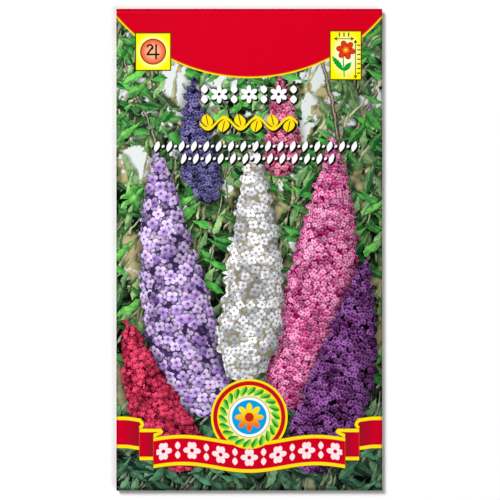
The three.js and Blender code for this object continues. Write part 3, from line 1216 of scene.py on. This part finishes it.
@dataclass(frozen=True)
class Ribbon:
    """The red banner across the foot, with folded ends and a row of white ornament."""

    trim: float = 1.05
    band_half: float = 28.8
    band_low: float = -64.6
    band_high: float = -57.5
    wave_middle: float = -0.22
    wave: float = 1.12
    wave_half: float = 20.0
    fold_out: float = 33.0
    fold_low: float = -62.2
    fold_high: float = -54.8
    tail_low: float = -58.6
    tail_high: float = -51.2
    tail_dip: float = 0.55
    trim_half: float = 0.48
    line: str = "6a4200"
    tail_start: float = 32.4
    tail_curl: tuple[Point, ...] = (
        (33.2, -51.15), (32.35, -51.8), (32.1, -52.6), (32.6, -53.3), (32.5, -54.0), (31.6, -54.3),
    )
    fold_curl: tuple[Point, ...] = (
        (29.3, -54.3), (26.75, -54.2), (26.4, -54.7), (27.4, -55.3), (28.3, -55.6), (28.3, -56.7),
    )
    row: BlossomRow = BlossomRow(
        pitch=4.3, half=27.9, petals=2.5, turn=0.0, core=1.35, reach=1.25, hole=0.6,
        leaf_foot=0.2, leaf_tip=2.6, leaf_width=0.55,
    )

    def strip(self, sheet: Print, up: Flow, beside: Flow, low: float, high: float, red: Tint) -> Print:
        """Prints one stretch of the ribbon with its yellow trims.

        Args:
            sheet: The print so far.
            up: The height on the packet, with the ribbon's wave taken out.
            beside: The distance outside the stretch's two ends.
            low: The foot of its red.
            high: The top of its red.
            red: The colour between its trims.

        Returns:
            The print with the stretch.
        """
        above = abs(up - (low + high) / 2) - (high - low) / 2
        outside = sheet.ink.larger(above - self.trim, beside)
        sheet = sheet.lay(self.line, outside - 0.12, 0.2)
        sheet = sheet.lay(YELLOW, outside)
        return sheet.lay(red, sheet.ink.larger(above, beside))

    def curl(self, sheet: Print, side: Flow, points: Sequence[Point]) -> Print:
        """Prints the trim where the ribbon turns over.

        Args:
            sheet: The print so far.
            side: The distance from the packet's middle line.
            points: The places that the trim passes.

        Returns:
            The print with the curl.
        """
        ink = sheet.ink
        outside = ink.stroke(side, ink.y, points[0], points[1], self.trim_half)
        for start, end in zip(points[1:], points[2:]):
            outside = ink.smaller(outside, ink.stroke(side, ink.y, start, end, self.trim_half))
        edge = ink.larger(outside - 0.12, side - points[0][0] + self.trim_half)
        return sheet.lay(self.line, edge).lay(YELLOW, outside)

    def print_on(self, sheet: Print) -> Print:
        """Prints the tails, the folds and the band, the hindmost first.

        Args:
            sheet: The print so far.

        Returns:
            The print with the ribbon.
        """
        ink = sheet.ink
        side = abs(ink.x)
        bright, dull = "cc0024", "a60c26"
        red = ink.mix(bright, dull, ink.ease(side, 39.0, 33.6))
        level = ink.y + ink.ease(side, 37.5, 32.2) * self.tail_dip
        sheet = self.strip(sheet, level, self.tail_start - side, self.tail_low, self.tail_high, red)
        sheet = self.curl(sheet, side, self.tail_curl)

        beside = ink.larger(side - self.fold_out, self.band_half - 1.5 - side)
        red = ink.mix(bright, dull, ink.ease(side, 32.8, 29.0))
        sheet = self.strip(sheet, ink.y, beside, self.fold_low, self.fold_high, red)
        sheet = self.curl(sheet, side, self.fold_curl)

        wave = ink.maths("COSINE", ink.x * (math.pi / self.wave_half))
        level = ink.y - self.wave_middle + self.wave * wave
        red = ink.mix("cf0022", RED, ink.ease(abs(side - self.wave_half), 9.0, 0.0))
        sheet = self.strip(sheet, level, side - self.band_half, self.band_low, self.band_high, red)
        up = level - (self.band_low + self.band_high) / 2
        return sheet.lay("ffe6ea", self.row.outline(ink, ink.x, up))


# ------------------------------------------------------------------ paper


@dataclass(frozen=True)
class Pillow:
    """The closed envelope's shape: a front that bulges and a back that settles flat."""

    width: float
    length: float
    paper: float = 0.12
    glue_gap: float = 0.08
    edge: float = 0.7
    edge_lift: float = 0.9
    front_rise: float = 2.2
    back_drop: float = 1.4
    contact_blend: float = 0.25
    sachet_half: Point = (25.0, 32.0)
    sachet_y: float = -12.0
    sachet_rise: float = 0.1
    pucker_height: float = 0.05
    ridge_height: float = 0.09
    drift_heights: Point = (0.03, 0.02)

    @property
    def fold(self) -> float:
        """The outer radius of the folds along the sides."""
        return self.edge / 2

    @property
    def flap_fold(self) -> float:
        """The outer radius of the folds at the two ends."""
        return (self.edge + self.glue_gap + self.paper) / 2

    @property
    def panel_x(self) -> float:
        """Where the sides start to turn under."""
        return self.width / 2 - self.fold

    @property
    def panel_y(self) -> float:
        """Where the ends start to turn under."""
        return self.length / 2 - self.flap_fold

    @property
    def edge_top(self) -> float:
        """How high the front stands along its edges."""
        return self.edge_lift + self.edge

    def fullness(self, x: float, y: float) -> float:
        """Says how full the envelope is: 0 along its edges and 1 in its middle."""
        across, along = x / self.panel_x, abs(y / self.panel_y)
        return max(0.0, (1 - across**2) * (1 - along**3))

    def buckle(self, x: float, y: float) -> float:
        """Works out the small waves that a filled paper envelope has.

        Args:
            x: The place across the packet.
            y: The place along the packet.

        Returns:
            How far the paper lies off the smooth bulge.
        """
        inner = min(1.0, 6 * self.fullness(x, y))
        from_end = self.panel_y - abs(y)
        pucker = self.pucker_height * math.exp(-((from_end / 9) ** 2))
        pucker *= math.cos(0.62 * x + math.copysign(0.9, y))
        from_corner = math.hypot(self.panel_x - abs(x), from_end)
        off_diagonal = (self.panel_x - abs(x)) - 0.8 * from_end
        ridge = self.ridge_height * math.exp(-((off_diagonal / 1.6) ** 2) - (from_corner / 15) ** 2)
        beside = max(abs(x) - self.sachet_half[0], abs(y - self.sachet_y) - self.sachet_half[1])
        plateau = self.sachet_rise / (1 + math.exp(1.6 * beside))
        drift = self.drift_heights[0] * math.sin(0.11 * x + 0.07 * y)
        drift += self.drift_heights[1] * math.sin(0.05 * x - 0.16 * y + 1.0)
        return inner * (pucker + ridge + plateau + drift)

    def front(self, x: float, y: float) -> float:
        """Gives the height of the front's outer face."""
        return self.edge_top + self.front_rise * self.fullness(x, y) + self.buckle(x, y)

    def back(self, x: float, y: float) -> float:
        """Gives the height of the back's outer face, which the ground holds flat in its middle.

        Args:
            x: The place across the packet.
            y: The place along the packet.

        Returns:
            The height above the ground.
        """
        free = self.edge_lift - self.back_drop * self.fullness(x, y)
        if free >= self.contact_blend:
            return free
        if free <= -self.contact_blend:
            return 0.0
        return (free + self.contact_blend) ** 2 / (4 * self.contact_blend)


def stations(stops: Sequence[float], steps: Sequence[int]) -> list[float]:
    """Gives the places from stop to stop, each stretch in equal steps.

    Args:
        stops: The ends of the stretches.
        steps: How many steps each stretch has.

    Returns:
        The places, the first stop and the last one too.
    """
    places = [stops[0]]
    for start, end, count in zip(stops, stops[1:], steps):
        places += [start + (end - start) * i / count for i in range(1, count)] + [end]
    return places


@dataclass(frozen=True)
class Band:
    """A stretch of a sheet's rows that shares one finish."""

    finish: bpy.types.Material
    end: float = 0.0


@dataclass
class PaperSheet:
    """A closed mesh of thin paper over a grid of columns and rows."""

    name: str
    columns: Sequence[float]
    rows: Sequence[float]
    place: Callable[[float, float, bool], Place]
    margin: float = 0.01
    inner_share: float = 0.16
    end_margin: float = 0.05
    edge_strip: float = 0.006

    def build(self, bands: Sequence[Band], plain: bpy.types.Material) -> bpy.types.Object:
        """Builds the sheet.

        Args:
            bands: The finishes of its outer face, from its first row to its last.
            plain: The finish of its inner face and its cut edges.

        Returns:
            The sheet's object.
        """
        wide, tall = len(self.columns), len(self.rows)
        vertices = [
            tuple(v * MM for v in self.place(column, row, outer))
            for outer in (True, False)
            for row in self.rows
            for column in self.columns
        ]
        inside = wide * tall

        def corner(i: int, j: int) -> int:
            """Gives the outer vertex at a column and a row."""
            return j * wide + i

        faces: list[tuple[int, ...]] = []
        for j in range(tall - 1):
            for i in range(wide - 1):
                quad = (corner(i, j), corner(i + 1, j), corner(i + 1, j + 1), corner(i, j + 1))
                faces += [quad, tuple(inside + v for v in reversed(quad))]
        printed_faces = len(faces)
        ring = [corner(i, 0) for i in range(wide)]
        ring += [corner(wide - 1, j) for j in range(1, tall)]
        ring += [corner(i, tall - 1) for i in range(wide - 2, -1, -1)]
        ring += [corner(0, j) for j in range(tall - 2, 0, -1)]
        for a, b in zip(ring, ring[1:] + ring[:1]):
            faces.append((a, inside + a, inside + b, b))

        mesh = bpy.data.meshes.new(self.name)
        mesh.from_pydata(vertices, [], faces)
        for material in (plain, *(band.finish for band in bands)):
            mesh.materials.append(material)
        self.map_faces(mesh, printed_faces, inside)
        for face in mesh.polygons:
            if face.material_index:
                row = self.rows[min(face.vertices) // wide]
                face.material_index = 1 + sum(row > band.end for band in bands[:-1])
        mesh.validate()
        piece = bpy.data.objects.new(self.name, mesh)
        bpy.context.collection.objects.link(piece)
        self.turn_outwards(mesh)
        return piece

    def map_faces(self, mesh: bpy.types.Mesh, sheet_faces: int, inside: int) -> None:
        """Sets each face's finish, smoothness and place in the bake's map.

        Args:
            mesh: The sheet's mesh.
            sheet_faces: How many faces come before those of its cut edges.
            inside: How many vertices its outer face has.
        """
        layer = mesh.uv_layers.new(name="OFBake")
        wide = len(self.columns)
        left, right = self.columns[0], self.columns[-1]
        low, high = self.rows[0], self.rows[-1]
        tall = 1 - 2 * self.end_margin
        for face in mesh.polygons:
            outer = face.vertices[0] < inside and face.index < sheet_faces
            face.material_index = 1 if outer else 0
            face.use_smooth = face.index < sheet_faces
            for loop in face.loop_indices:
                vertex = mesh.loops[loop].vertex_index
                on_inner = vertex >= inside
                j, i = divmod(vertex - inside if on_inner else vertex, wide)
                u = (self.columns[i] - left) / (right - left)
                v = (self.rows[j] - low) / (high - low)
                if outer:
                    span = 1 - self.inner_share - 3 * self.margin
                    place = (self.margin + u * span, self.margin + v * (1 - 2 * self.margin))
                elif face.index < sheet_faces:
                    start = 1 - self.inner_share - self.margin
                    place = (start + u * (self.inner_share - self.margin), self.end_margin + tall * v)
                else:
                    start = 1 - self.margin + (self.edge_strip if on_inner else 0.0)
                    place = (start, self.end_margin + tall * (u + v) / 2)
                layer.data[loop].uv = place

    @staticmethod
    def turn_outwards(mesh: bpy.types.Mesh) -> None:
        """Turns every face of a closed mesh outwards, by the sign of its volume.

        Args:
            mesh: The mesh.
        """
        volume = 0.0
        for face in mesh.polygons:
            first = mesh.vertices[face.vertices[0]].co
            for a, b in zip(face.vertices[1:], face.vertices[2:]):
                volume += first.dot(mesh.vertices[a].co.cross(mesh.vertices[b].co))
        if volume < 0:
            mesh.flip_normals()


def plain_paper(name: str) -> bpy.types.Material:
    """Makes uncoated white paper, faintly cloudy from its fibres.

    Args:
        name: The material's name.

    Returns:
        The material.
    """
    ink = Surface(name)
    fibre = ink.noise(ink.place, 3.0, 4.0, 0.7)
    colour = ink.mix("ece9e1", "f7f5f0", fibre)
    return ink.finish(colour, 0.75, fibre * 0.01)


@dataclass
class FrontSheet:
    """The front of the envelope with its two folded sides and all of its print."""

    pillow: Pillow
    garden: Picture
    header: Header = Header()
    plates: Plates = Plates()
    friezes: Friezes = Friezes()
    seal: Seal = Seal()
    ribbon: Ribbon = Ribbon()
    foot_end: float = -38.2
    flower_end: float = 24.8
    title_end: float = 49.8
    fold_start: Point = (39.3, 71.7)
    # painted shade: how much light the print keeps at the very fold
    fold_painted_shade: float = 0.68
    shine: Point = (0.28, 0.36)
    fold_steps: int = 8
    column_steps: int = 80
    row_steps: int = 144

    def bands(self) -> list[Band]:
        """Draws the print, in bands that each hold only what is printed there.

        Returns:
            The bands from the foot to the top.
        """
        steps: tuple[tuple[str, float, Callable[[Print], Print]], ...] = (
            ("foot_print", self.foot_end, self.foot),
            ("flower_print", self.flower_end, lambda sheet: sheet),
            ("title_print", self.title_end, self.friezes.print_on),
            ("head_print", self.pillow.panel_y, self.head),
        )
        bands = []
        for name, end, print_on in steps:
            ink = Surface(name)
            colour = print_on(Print(ink)).over(self.garden.show(ink))
            # painted shade: the print darkens towards the folded sides and ends, as if they turned away
            # from the light
            to_fold = ink.block((0.0, 0.0), *self.fold_start)
            colour = ink.shade(colour, ink.ease(to_fold, -0.1, 0.4, 1.0, self.fold_painted_shade))
            bands.append(Band(ink.varnish(colour, self.shine), end))
        return bands

    def foot(self, sheet: Print) -> Print:
        """Prints the ribbon and the seal that it passes through."""
        return self.seal.print_front(self.ribbon.print_on(self.seal.print_behind(sheet)))

    def head(self, sheet: Print) -> Print:
        """Prints the header and the plates that lie on it."""
        return self.plates.print_on(self.header.print_on(sheet))

    def place(self, along: float, y: float, outer: bool) -> Place:
        """Places a point of the sheet.

        Args:
            along: The distance across the sheet from its middle line.
            y: The place along the packet.
            outer: Whether the point is on the outer face.

        Returns:
            The point.
        """
        pillow = self.pillow
        if abs(along) <= pillow.panel_x:
            return (along, y, pillow.front(along, y) - (0.0 if outer else pillow.paper))
        turn = (abs(along) - pillow.panel_x) / pillow.fold
        radius = pillow.fold - (0.0 if outer else pillow.paper)
        x = math.copysign(pillow.panel_x + radius * math.sin(turn), along)
        return (x, y, pillow.edge_top - pillow.fold + radius * math.cos(turn))

    def build(self, plain: bpy.types.Material) -> bpy.types.Object:
        """Builds and dresses the sheet.

        Args:
            plain: The finish of its inner face.

        Returns:
            The sheet.
        """
        pillow = self.pillow
        side, turned = pillow.panel_x, pillow.panel_x + math.pi * pillow.fold
        steps = (self.fold_steps, self.column_steps, self.fold_steps)
        columns = stations((-turned, -side, side, turned), steps)
        rows = stations((-pillow.panel_y, pillow.panel_y), (self.row_steps,))
        sheet = PaperSheet("front_sheet", columns, rows, self.place)
        return sheet.build(self.bands(), plain)


@dataclass(frozen=True)
class BackPrint:
    """The back's print: sowing signs, a calendar, growing plants, note lines and a seal."""

    paper: str = "fbf6e2"
    line: str = "3a7a3a"
    band_low: float = -58.5
    signs_y: float = 43.0
    signs_x: tuple[float, ...] = (-23.0, 0.0, 23.0)
    sign_half: float = 7.6
    calendar_y: float = 23.0
    month: float = 5.6
    sowing: Point = (2.0, 5.0)
    flowering: Point = (-4.0, 0.0)
    stages_y: float = 3.0
    plants: tuple[Point, ...] = ((12.0, 3.2), (-5.0, 6.4), (-24.0, 10.5))
    note_lines: tuple[float, ...] = (-12.0, -19.0, -26.0)
    header: Header = Header(low=56.0, side=66.0)
    seal: Seal = Seal(centre=(0.0, -43.0))
    shine: Point = (0.4, 0.52)

    def sign_frames(self, sheet: Print) -> Print:
        """Prints the round-cornered frames of the three signs.

        Args:
            sheet: The print so far.

        Returns:
            The print with the frames.
        """
        ink = sheet.ink
        for x in self.signs_x:
            corner = self.sign_half - 1.6
            beside = ink.larger(abs(ink.x - x) - corner, 0.0)
            above = ink.larger(abs(ink.y - self.signs_y) - corner, 0.0)
            outside = ink.length(beside, above) - 1.6
            sheet = sheet.lay(self.line, outside).lay("eef6dc", outside + 0.4)
        return sheet

    def sun_sign(self, sheet: Print, x: float) -> Print:
        """Prints a sun, for an open place.

        Args:
            sheet: The print so far.
            x: The place of its middle, across the packet.

        Returns:
            The print with the sun.
        """
        ink = sheet.ink
        across, up = ink.offset((x, self.signs_y))
        away = ink.length(across, up)
        rays = abs(ink.maths("COSINE", ink.maths("ARCTAN2", up, across) * 5.0))
        sheet = sheet.lay("f08a1c", away - 3.4 - rays * 2.2)
        return sheet.lay("fbe6b0", away - 3.3).lay("f7b51c", away - 2.7)

    def drop_sign(self, sheet: Print, x: float) -> Print:
        """Prints a drop, for watering.

        Args:
            sheet: The print so far.
            x: The place of its middle, across the packet.

        Returns:
            The print with the drop.
        """
        ink = sheet.ink
        across, up = ink.offset((x, self.signs_y - 1.2))
        round_part = ink.length(across, up) - 3.1
        taper = ink.larger(abs(across) - (5.6 - up) * 0.5, 1.4 - up)
        drop = ink.smaller(round_part, taper)
        sheet = sheet.lay("2a8ad0", drop)
        return sheet.lay("bfe2f6", ink.length(across + 1.1, up) - 0.8, 0.5)

    def seedling(self, sheet: Print, x: float, y: float, size: float) -> Print:
        """Prints a young plant with a pair of leaves at each joint.

        Args:
            sheet: The print so far.
            x: The place of its stem, across the packet.
            y: The height of its foot.
            size: Its height.

        Returns:
            The print with the plant.
        """
        ink = sheet.ink
        across, up = ink.offset((x, y))
        green = "3f9a3c"
        sheet = sheet.lay(green, ink.stroke(across, up, (0.0, 0.0), (0.0, size), 0.28))
        pairs = max(1, round(size / 3.2))
        for joint in range(pairs):
            high = size * (joint + 1) / pairs
            reach = 2.6 + 1.5 * (pairs - 1 - joint) / pairs
            share = abs(across) / reach
            lifted = up - high - abs(across) * 0.45
            leaf = abs(lifted) - share * (1.0 - share) * 3.4
            sheet = sheet.lay(green, ink.larger(leaf, abs(across) - reach))
        return sheet

    def calendar(self, sheet: Print) -> Print:
        """Prints twelve squares for the months, with bars for sowing and for flowering.

        Args:
            sheet: The print so far.

        Returns:
            The print with the calendar.
        """
        ink = sheet.ink
        half = 6 * self.month
        up = ink.y - self.calendar_y
        outside = ink.larger(abs(ink.x) - half, abs(up) - 3.4)
        sheet = sheet.lay(self.line, outside - 0.3).lay(WHITE, outside)
        for (start, end), y, code in ((self.sowing, 1.75, "62b04a"), (self.flowering, -1.75, "e0609a")):
            middle, wide = (start + end) / 2 * self.month, (end - start) / 2 * self.month
            bar = ink.larger(abs(ink.x - middle) - wide, abs(up - y) - 1.2)
            sheet = sheet.lay(code, bar)
        beat = ink.maths("PINGPONG", ink.x, self.month)
        rule = ink.smaller(beat, abs(beat - self.month))
        rule = ink.smaller(rule, abs(up)) - 0.1
        return sheet.lay("8fb58a", ink.larger(rule, outside))

    def stages(self, sheet: Print) -> Print:
        """Prints the plant's growth from seed to bush in a strip of soil.

        Args:
            sheet: The print so far.

        Returns:
            The print with the strip and its plants.
        """
        ink = sheet.ink
        up = ink.y - self.stages_y
        soil = ink.larger(abs(ink.x) - 33.6, abs(up + 5.0) - 2.4)
        grains = ink.noise(ink.place, 1.4, 3.0, 0.7)
        earth = ink.mix("6a4526", "9a6a3e", ink.ease(grains, 0.4, 0.65))
        sheet = sheet.lay(earth, soil)
        sheet = sheet.lay("f0d9a8", ink.length(ink.x - 27.0, (up + 4.2) * 1.4) - 0.9)
        foot = self.stages_y - 2.6
        for x, size in self.plants:
            sheet = self.seedling(sheet, x, foot, size)
        across, high = ink.x + 24.0, up - 10.2
        cone = ink.larger(abs(across) - (3.4 - high) * 0.42, abs(high - 1.0) - 2.4)
        return sheet.lay("b27ad0", cone, 0.3)

    def notes(self, sheet: Print) -> Print:
        """Prints dotted lines for the gardener's own notes.

        Args:
            sheet: The print so far.

        Returns:
            The print with the lines.
        """
        ink = sheet.ink
        for y in self.note_lines:
            dots = ink.maths("FLOORED_MODULO", ink.x, 1.4) - 0.7
            dot = ink.length(dots, ink.y - y) - 0.22
            sheet = sheet.lay("7c8a74", ink.larger(dot, abs(ink.x) - 33.0))
        return sheet

    def finish(self) -> bpy.types.Material:
        """Draws the print of the back.

        Returns:
            The material.
        """
        ink = Surface("back_print")
        cloud = ink.noise(ink.place, 0.6, 3.0, 0.6)
        colour = ink.mix(self.paper, ink.shade(self.paper, 0.96), cloud)
        sheet = self.header.print_on(Print(ink))
        sheet = sheet.lay(YELLOW, ink.y - self.band_low - 0.8).lay(RED, ink.y - self.band_low)
        sheet = self.sign_frames(sheet)
        sheet = self.drop_sign(self.sun_sign(sheet, self.signs_x[2]), self.signs_x[1])
        sheet = self.seedling(sheet, self.signs_x[0], self.signs_y - 4.6, 6.6)
        sheet = self.notes(self.stages(self.calendar(sheet)))
        sheet = self.seal.print_front(self.seal.print_behind(sheet))
        return ink.varnish(sheet.over(colour), self.shine)


@dataclass
class Back:
    """The two back panels, which overlap in a glued seam."""

    pillow: Pillow
    artwork: BackPrint = BackPrint()
    seam: float = 4.0
    joggle_start: float = 0.4
    joggle: float = 2.4
    row_steps: int = 96
    outer_steps: int = 32
    inner_steps: int = 44

    def lift(self, x: float) -> float:
        """Says how far the inner panel steps up over the outer one.

        Args:
            x: The place across the packet.

        Returns:
            The height of the step there.
        """
        start = self.seam + self.joggle_start
        share = min(1.0, max(0.0, (x - start) / self.joggle))
        down = share * share * (3 - 2 * share)
        return (self.pillow.paper + self.pillow.glue_gap) * (1 - down)

    def build(self, plain: bpy.types.Material) -> list[bpy.types.Object]:
        """Builds and dresses both panels.

        Args:
            plain: The finish of their inner faces.

        Returns:
            The outer panel and the inner one.
        """
        pillow = self.pillow
        printed = [Band(self.artwork.finish())]
        rows = stations((-pillow.panel_y, pillow.panel_y), (self.row_steps,))

        def outer_place(x: float, y: float, outer: bool) -> Place:
            """Places a point of the outer panel."""
            return (x, y, pillow.back(x, y) + (0.0 if outer else pillow.paper))

        def inner_place(x: float, y: float, outer: bool) -> Place:
            """Places a point of the inner panel."""
            return (x, y, pillow.back(x, y) + self.lift(x) + (0.0 if outer else pillow.paper))

        outer_columns = stations((-pillow.panel_x, self.seam), (self.outer_steps,))
        inner_columns = stations((-self.seam, pillow.panel_x), (self.inner_steps,))
        return [
            PaperSheet("back_outer", outer_columns, rows, outer_place).build(printed, plain),
            PaperSheet("back_inner", inner_columns, rows, inner_place).build(printed, plain),
        ]


@dataclass
class EndFlap:
    """The flap that folds under one end of the envelope and is glued to its back.

    Its end is 1 at the top of the packet and -1 at its foot.
    """

    pillow: Pillow
    name: str
    end: int
    depth: float
    colour: str
    bleed: Picture
    taper: float = 6.0
    corner_turn: float = math.radians(75.0)
    # painted shade: how much light the print keeps round the fold
    bleed_painted_shade: float = 0.64
    bleed_reach: float = 0.9
    shine: float = 0.33
    corner_steps: int = 4
    column_steps: int = 60
    fold_steps: int = 8
    row_steps: int = 14

    def bands(self) -> list[Band]:
        """Carries the front's print round the fold, darkened there as painted shade, and leaves the flap
        itself in one colour.

        Returns:
            The two bands.
        """
        bleed = Surface(self.name + "_bleed")
        colour = bleed.mix(self.bleed.show(bleed), RED, 1.0 if self.end > 0 else 0.0)
        # painted shade: the print round the fold is darkened as if the fold were in shade
        colour = bleed.shade(colour, self.bleed_painted_shade)
        flat = Surface(self.name + "_print")
        cloud = flat.noise(flat.place, 0.6, 3.0, 0.6)
        tint = flat.mix(self.colour, flat.shade(self.colour, 0.94), cloud)
        bleed_end = math.pi * self.pillow.flap_fold * self.bleed_reach
        return [
            Band(bleed.finish(colour, self.shine), bleed_end),
            Band(flat.finish(tint, 0.45, cloud * 0.006)),
        ]

    def place(self, column: float, along: float, outer: bool) -> Place:
        """Places a point of the flap.

        Args:
            column: The distance across the flap from its middle line, along the fold.
            along: The distance from the start of the fold.
            outer: Whether the point is on the outer face.

        Returns:
            The point.
        """
        pillow = self.pillow
        turned = math.pi * pillow.flap_fold
        beyond = max(0.0, along - turned)
        inset = 0.0 if outer else pillow.paper
        round_side = max(0.0, abs(column) - pillow.panel_x) / pillow.fold
        reach = min(abs(column), pillow.panel_x) + (pillow.fold - inset) * math.sin(round_side)
        x = math.copysign(reach, column) * (1 - self.taper / pillow.panel_x * beyond / self.depth)
        if along < turned:
            turn = along / pillow.flap_fold
            radius = pillow.flap_fold - inset
            y = pillow.panel_y + radius * math.sin(turn)
            half_thick = radius - pillow.fold * (1 - math.cos(round_side))
            z = pillow.edge_top - pillow.flap_fold + half_thick * math.cos(turn)
            return (x, self.end * y, z)
        y = pillow.panel_y - beyond
        z = pillow.back(x, y) - pillow.glue_gap - (pillow.paper if outer else 0.0)
        return (x, self.end * y, z)

    def build(self, plain: bpy.types.Material) -> bpy.types.Object:
        """Builds and dresses the flap.

        Args:
            plain: The finish of its inner face.

        Returns:
            The flap.
        """
        side, turned = self.pillow.panel_x, math.pi * self.pillow.flap_fold
        corner = side + self.pillow.fold * self.corner_turn
        steps = (self.corner_steps, self.column_steps, self.corner_steps)
        columns = stations((-corner, -side, side, corner), steps)
        rows = stations((0.0, turned, turned + self.depth), (self.fold_steps, self.row_steps))
        return PaperSheet(self.name, columns, rows, self.place).build(self.bands(), plain)


@dataclass
class Sachet:
    """The small foil-paper sachet of seeds inside the envelope."""

    crimps: float = 4.0
    crimp_height: float = 0.02

    def dress(self) -> None:
        """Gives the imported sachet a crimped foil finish."""
        ink = Surface("sachet_foil")
        crimp = ink.maths("SINE", ink.y * self.crimps) * self.crimp_height
        cloud = ink.noise(ink.place, 0.4, 3.0, 0.6)
        colour = ink.mix("c4c6c6", "e2e2de", cloud)
        material = ink.finish(colour, 0.4, crimp)
        node = bpy.data.objects["seed_sachet"]
        for slot in node.material_slots:
            slot.material = material


# ------------------------------------------------------------------ studio


@dataclass(frozen=True)
class Lamp:
    """A square soft light that faces the packet, in metres and watts."""

    name: str
    place: Place
    size: float
    power: float

    def hang(self) -> None:
        """Hangs the light."""
        light = bpy.data.lights.new(self.name, "AREA")
        light.shape = "SQUARE"
        light.size = self.size
        light.energy = self.power
        lamp = bpy.data.objects.new(self.name, light)
        lamp.location = self.place
        away = lamp.location.normalized()
        lamp.rotation_euler = away.to_track_quat("Z", "Y").to_euler()
        bpy.context.collection.objects.link(lamp)


@dataclass
class Studio:
    """A pale floor, soft lights and a camera straight above the packet."""

    pillow: Pillow
    lamps: tuple[Lamp, ...] = (
        Lamp("key", (-2.75, 3.2, 3.45), 2.1, 358.0),
        Lamp("fill", (3.35, -2.5, 3.25), 2.5, 110.0),
    )
    surroundings: float = 0.1  # the strength of the white light from all round
    floor_half: float = 1.5  # metres
    view_width: float = 150.33
    lens: float = 120.0
    sensor: float = 36.0
    nearest: float = 0.01  # metres
    aim: Point = (0.21, -0.08)

    def floor(self) -> bpy.types.Object:
        """Builds the floor.

        Returns:
            The floor.
        """
        half = self.floor_half
        mesh = bpy.data.meshes.new("floor")
        corners = [(-half, -half, 0.0), (half, -half, 0.0), (half, half, 0.0), (-half, half, 0.0)]
        mesh.from_pydata(corners, [], [(0, 1, 2, 3)])
        ink = Surface("floor_paint")
        cloud = ink.noise(ink.place, 0.01, 2.0, 0.5)
        colour = ink.mix("f9f9f9", "fcfcfc", cloud)
        mesh.materials.append(ink.finish(colour, 0.9))
        piece = bpy.data.objects.new("floor", mesh)
        bpy.context.collection.objects.link(piece)
        return piece

    def camera(self) -> None:
        """Places the camera straight above, with the packet's top towards the top."""
        data = bpy.data.cameras.new("camera")
        data.lens = self.lens
        data.sensor_width = self.sensor
        data.clip_start = self.nearest
        camera = bpy.data.objects.new("camera", data)
        height = self.view_width * self.lens / self.sensor + self.pillow.edge_top
        camera.location = (self.aim[0] * MM, self.aim[1] * MM, height * MM)
        bpy.context.collection.objects.link(camera)
        bpy.context.scene.camera = camera

    def build(self) -> None:
        """Sets up the floor, the lights, the surroundings and the camera."""
        self.floor()
        for lamp in self.lamps:
            lamp.hang()
        world = bpy.data.worlds.new("studio")
        world.use_nodes = True
        backdrop = world.node_tree.nodes["Background"]
        backdrop.inputs["Color"].default_value = (1.0, 1.0, 1.0, 1.0)
        backdrop.inputs["Strength"].default_value = self.surroundings
        bpy.context.scene.world = world
        bpy.context.scene.view_settings.view_transform = "Standard"
        self.camera()


def main() -> None:
    """Builds the packet and its studio, and reports each piece."""
    logging.basicConfig(level=logging.INFO, format="%(name)s: %(message)s")
    low, high = CAD_BOX
    pillow = Pillow((high[0] - low[0]) / MM, (high[1] - low[1]) / MM)
    plain = plain_paper("inner_paper")
    Studio(pillow).build()

    garden = Garden().picture()
    front = FrontSheet(pillow, garden).build(plain)
    back_outer, back_inner = Back(pillow).build(plain)
    top_flap = EndFlap(pillow, "top_flap_paper", end=1, depth=14.0, colour="d80020", bleed=garden)
    bottom_flap = EndFlap(pillow, "bottom_flap_paper", end=-1, depth=11.0, colour="c2001c", bleed=garden)
    top, bottom = top_flap.build(plain), bottom_flap.build(plain)
    Sachet().dress()

    paper_nodes = {"back_panel_outer", "back_panel_inner", "top_flap", "bottom_flap", "seed_sachet"}
    front_nodes = [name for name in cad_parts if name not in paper_nodes]
    replaced = (
        (front, front_nodes),
        (back_outer, ["back_panel_outer"]),
        (back_inner, ["back_panel_inner"]),
        (top, ["top_flap"]),
        (bottom, ["bottom_flap"]),
    )
    for piece, nodes in replaced:
        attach(piece, "root")
        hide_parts(*nodes)
        log.info("%s replaces %d nodes with %d faces", piece.name, len(nodes), len(piece.data.polygons))


if __name__ == "__main__":
    main()
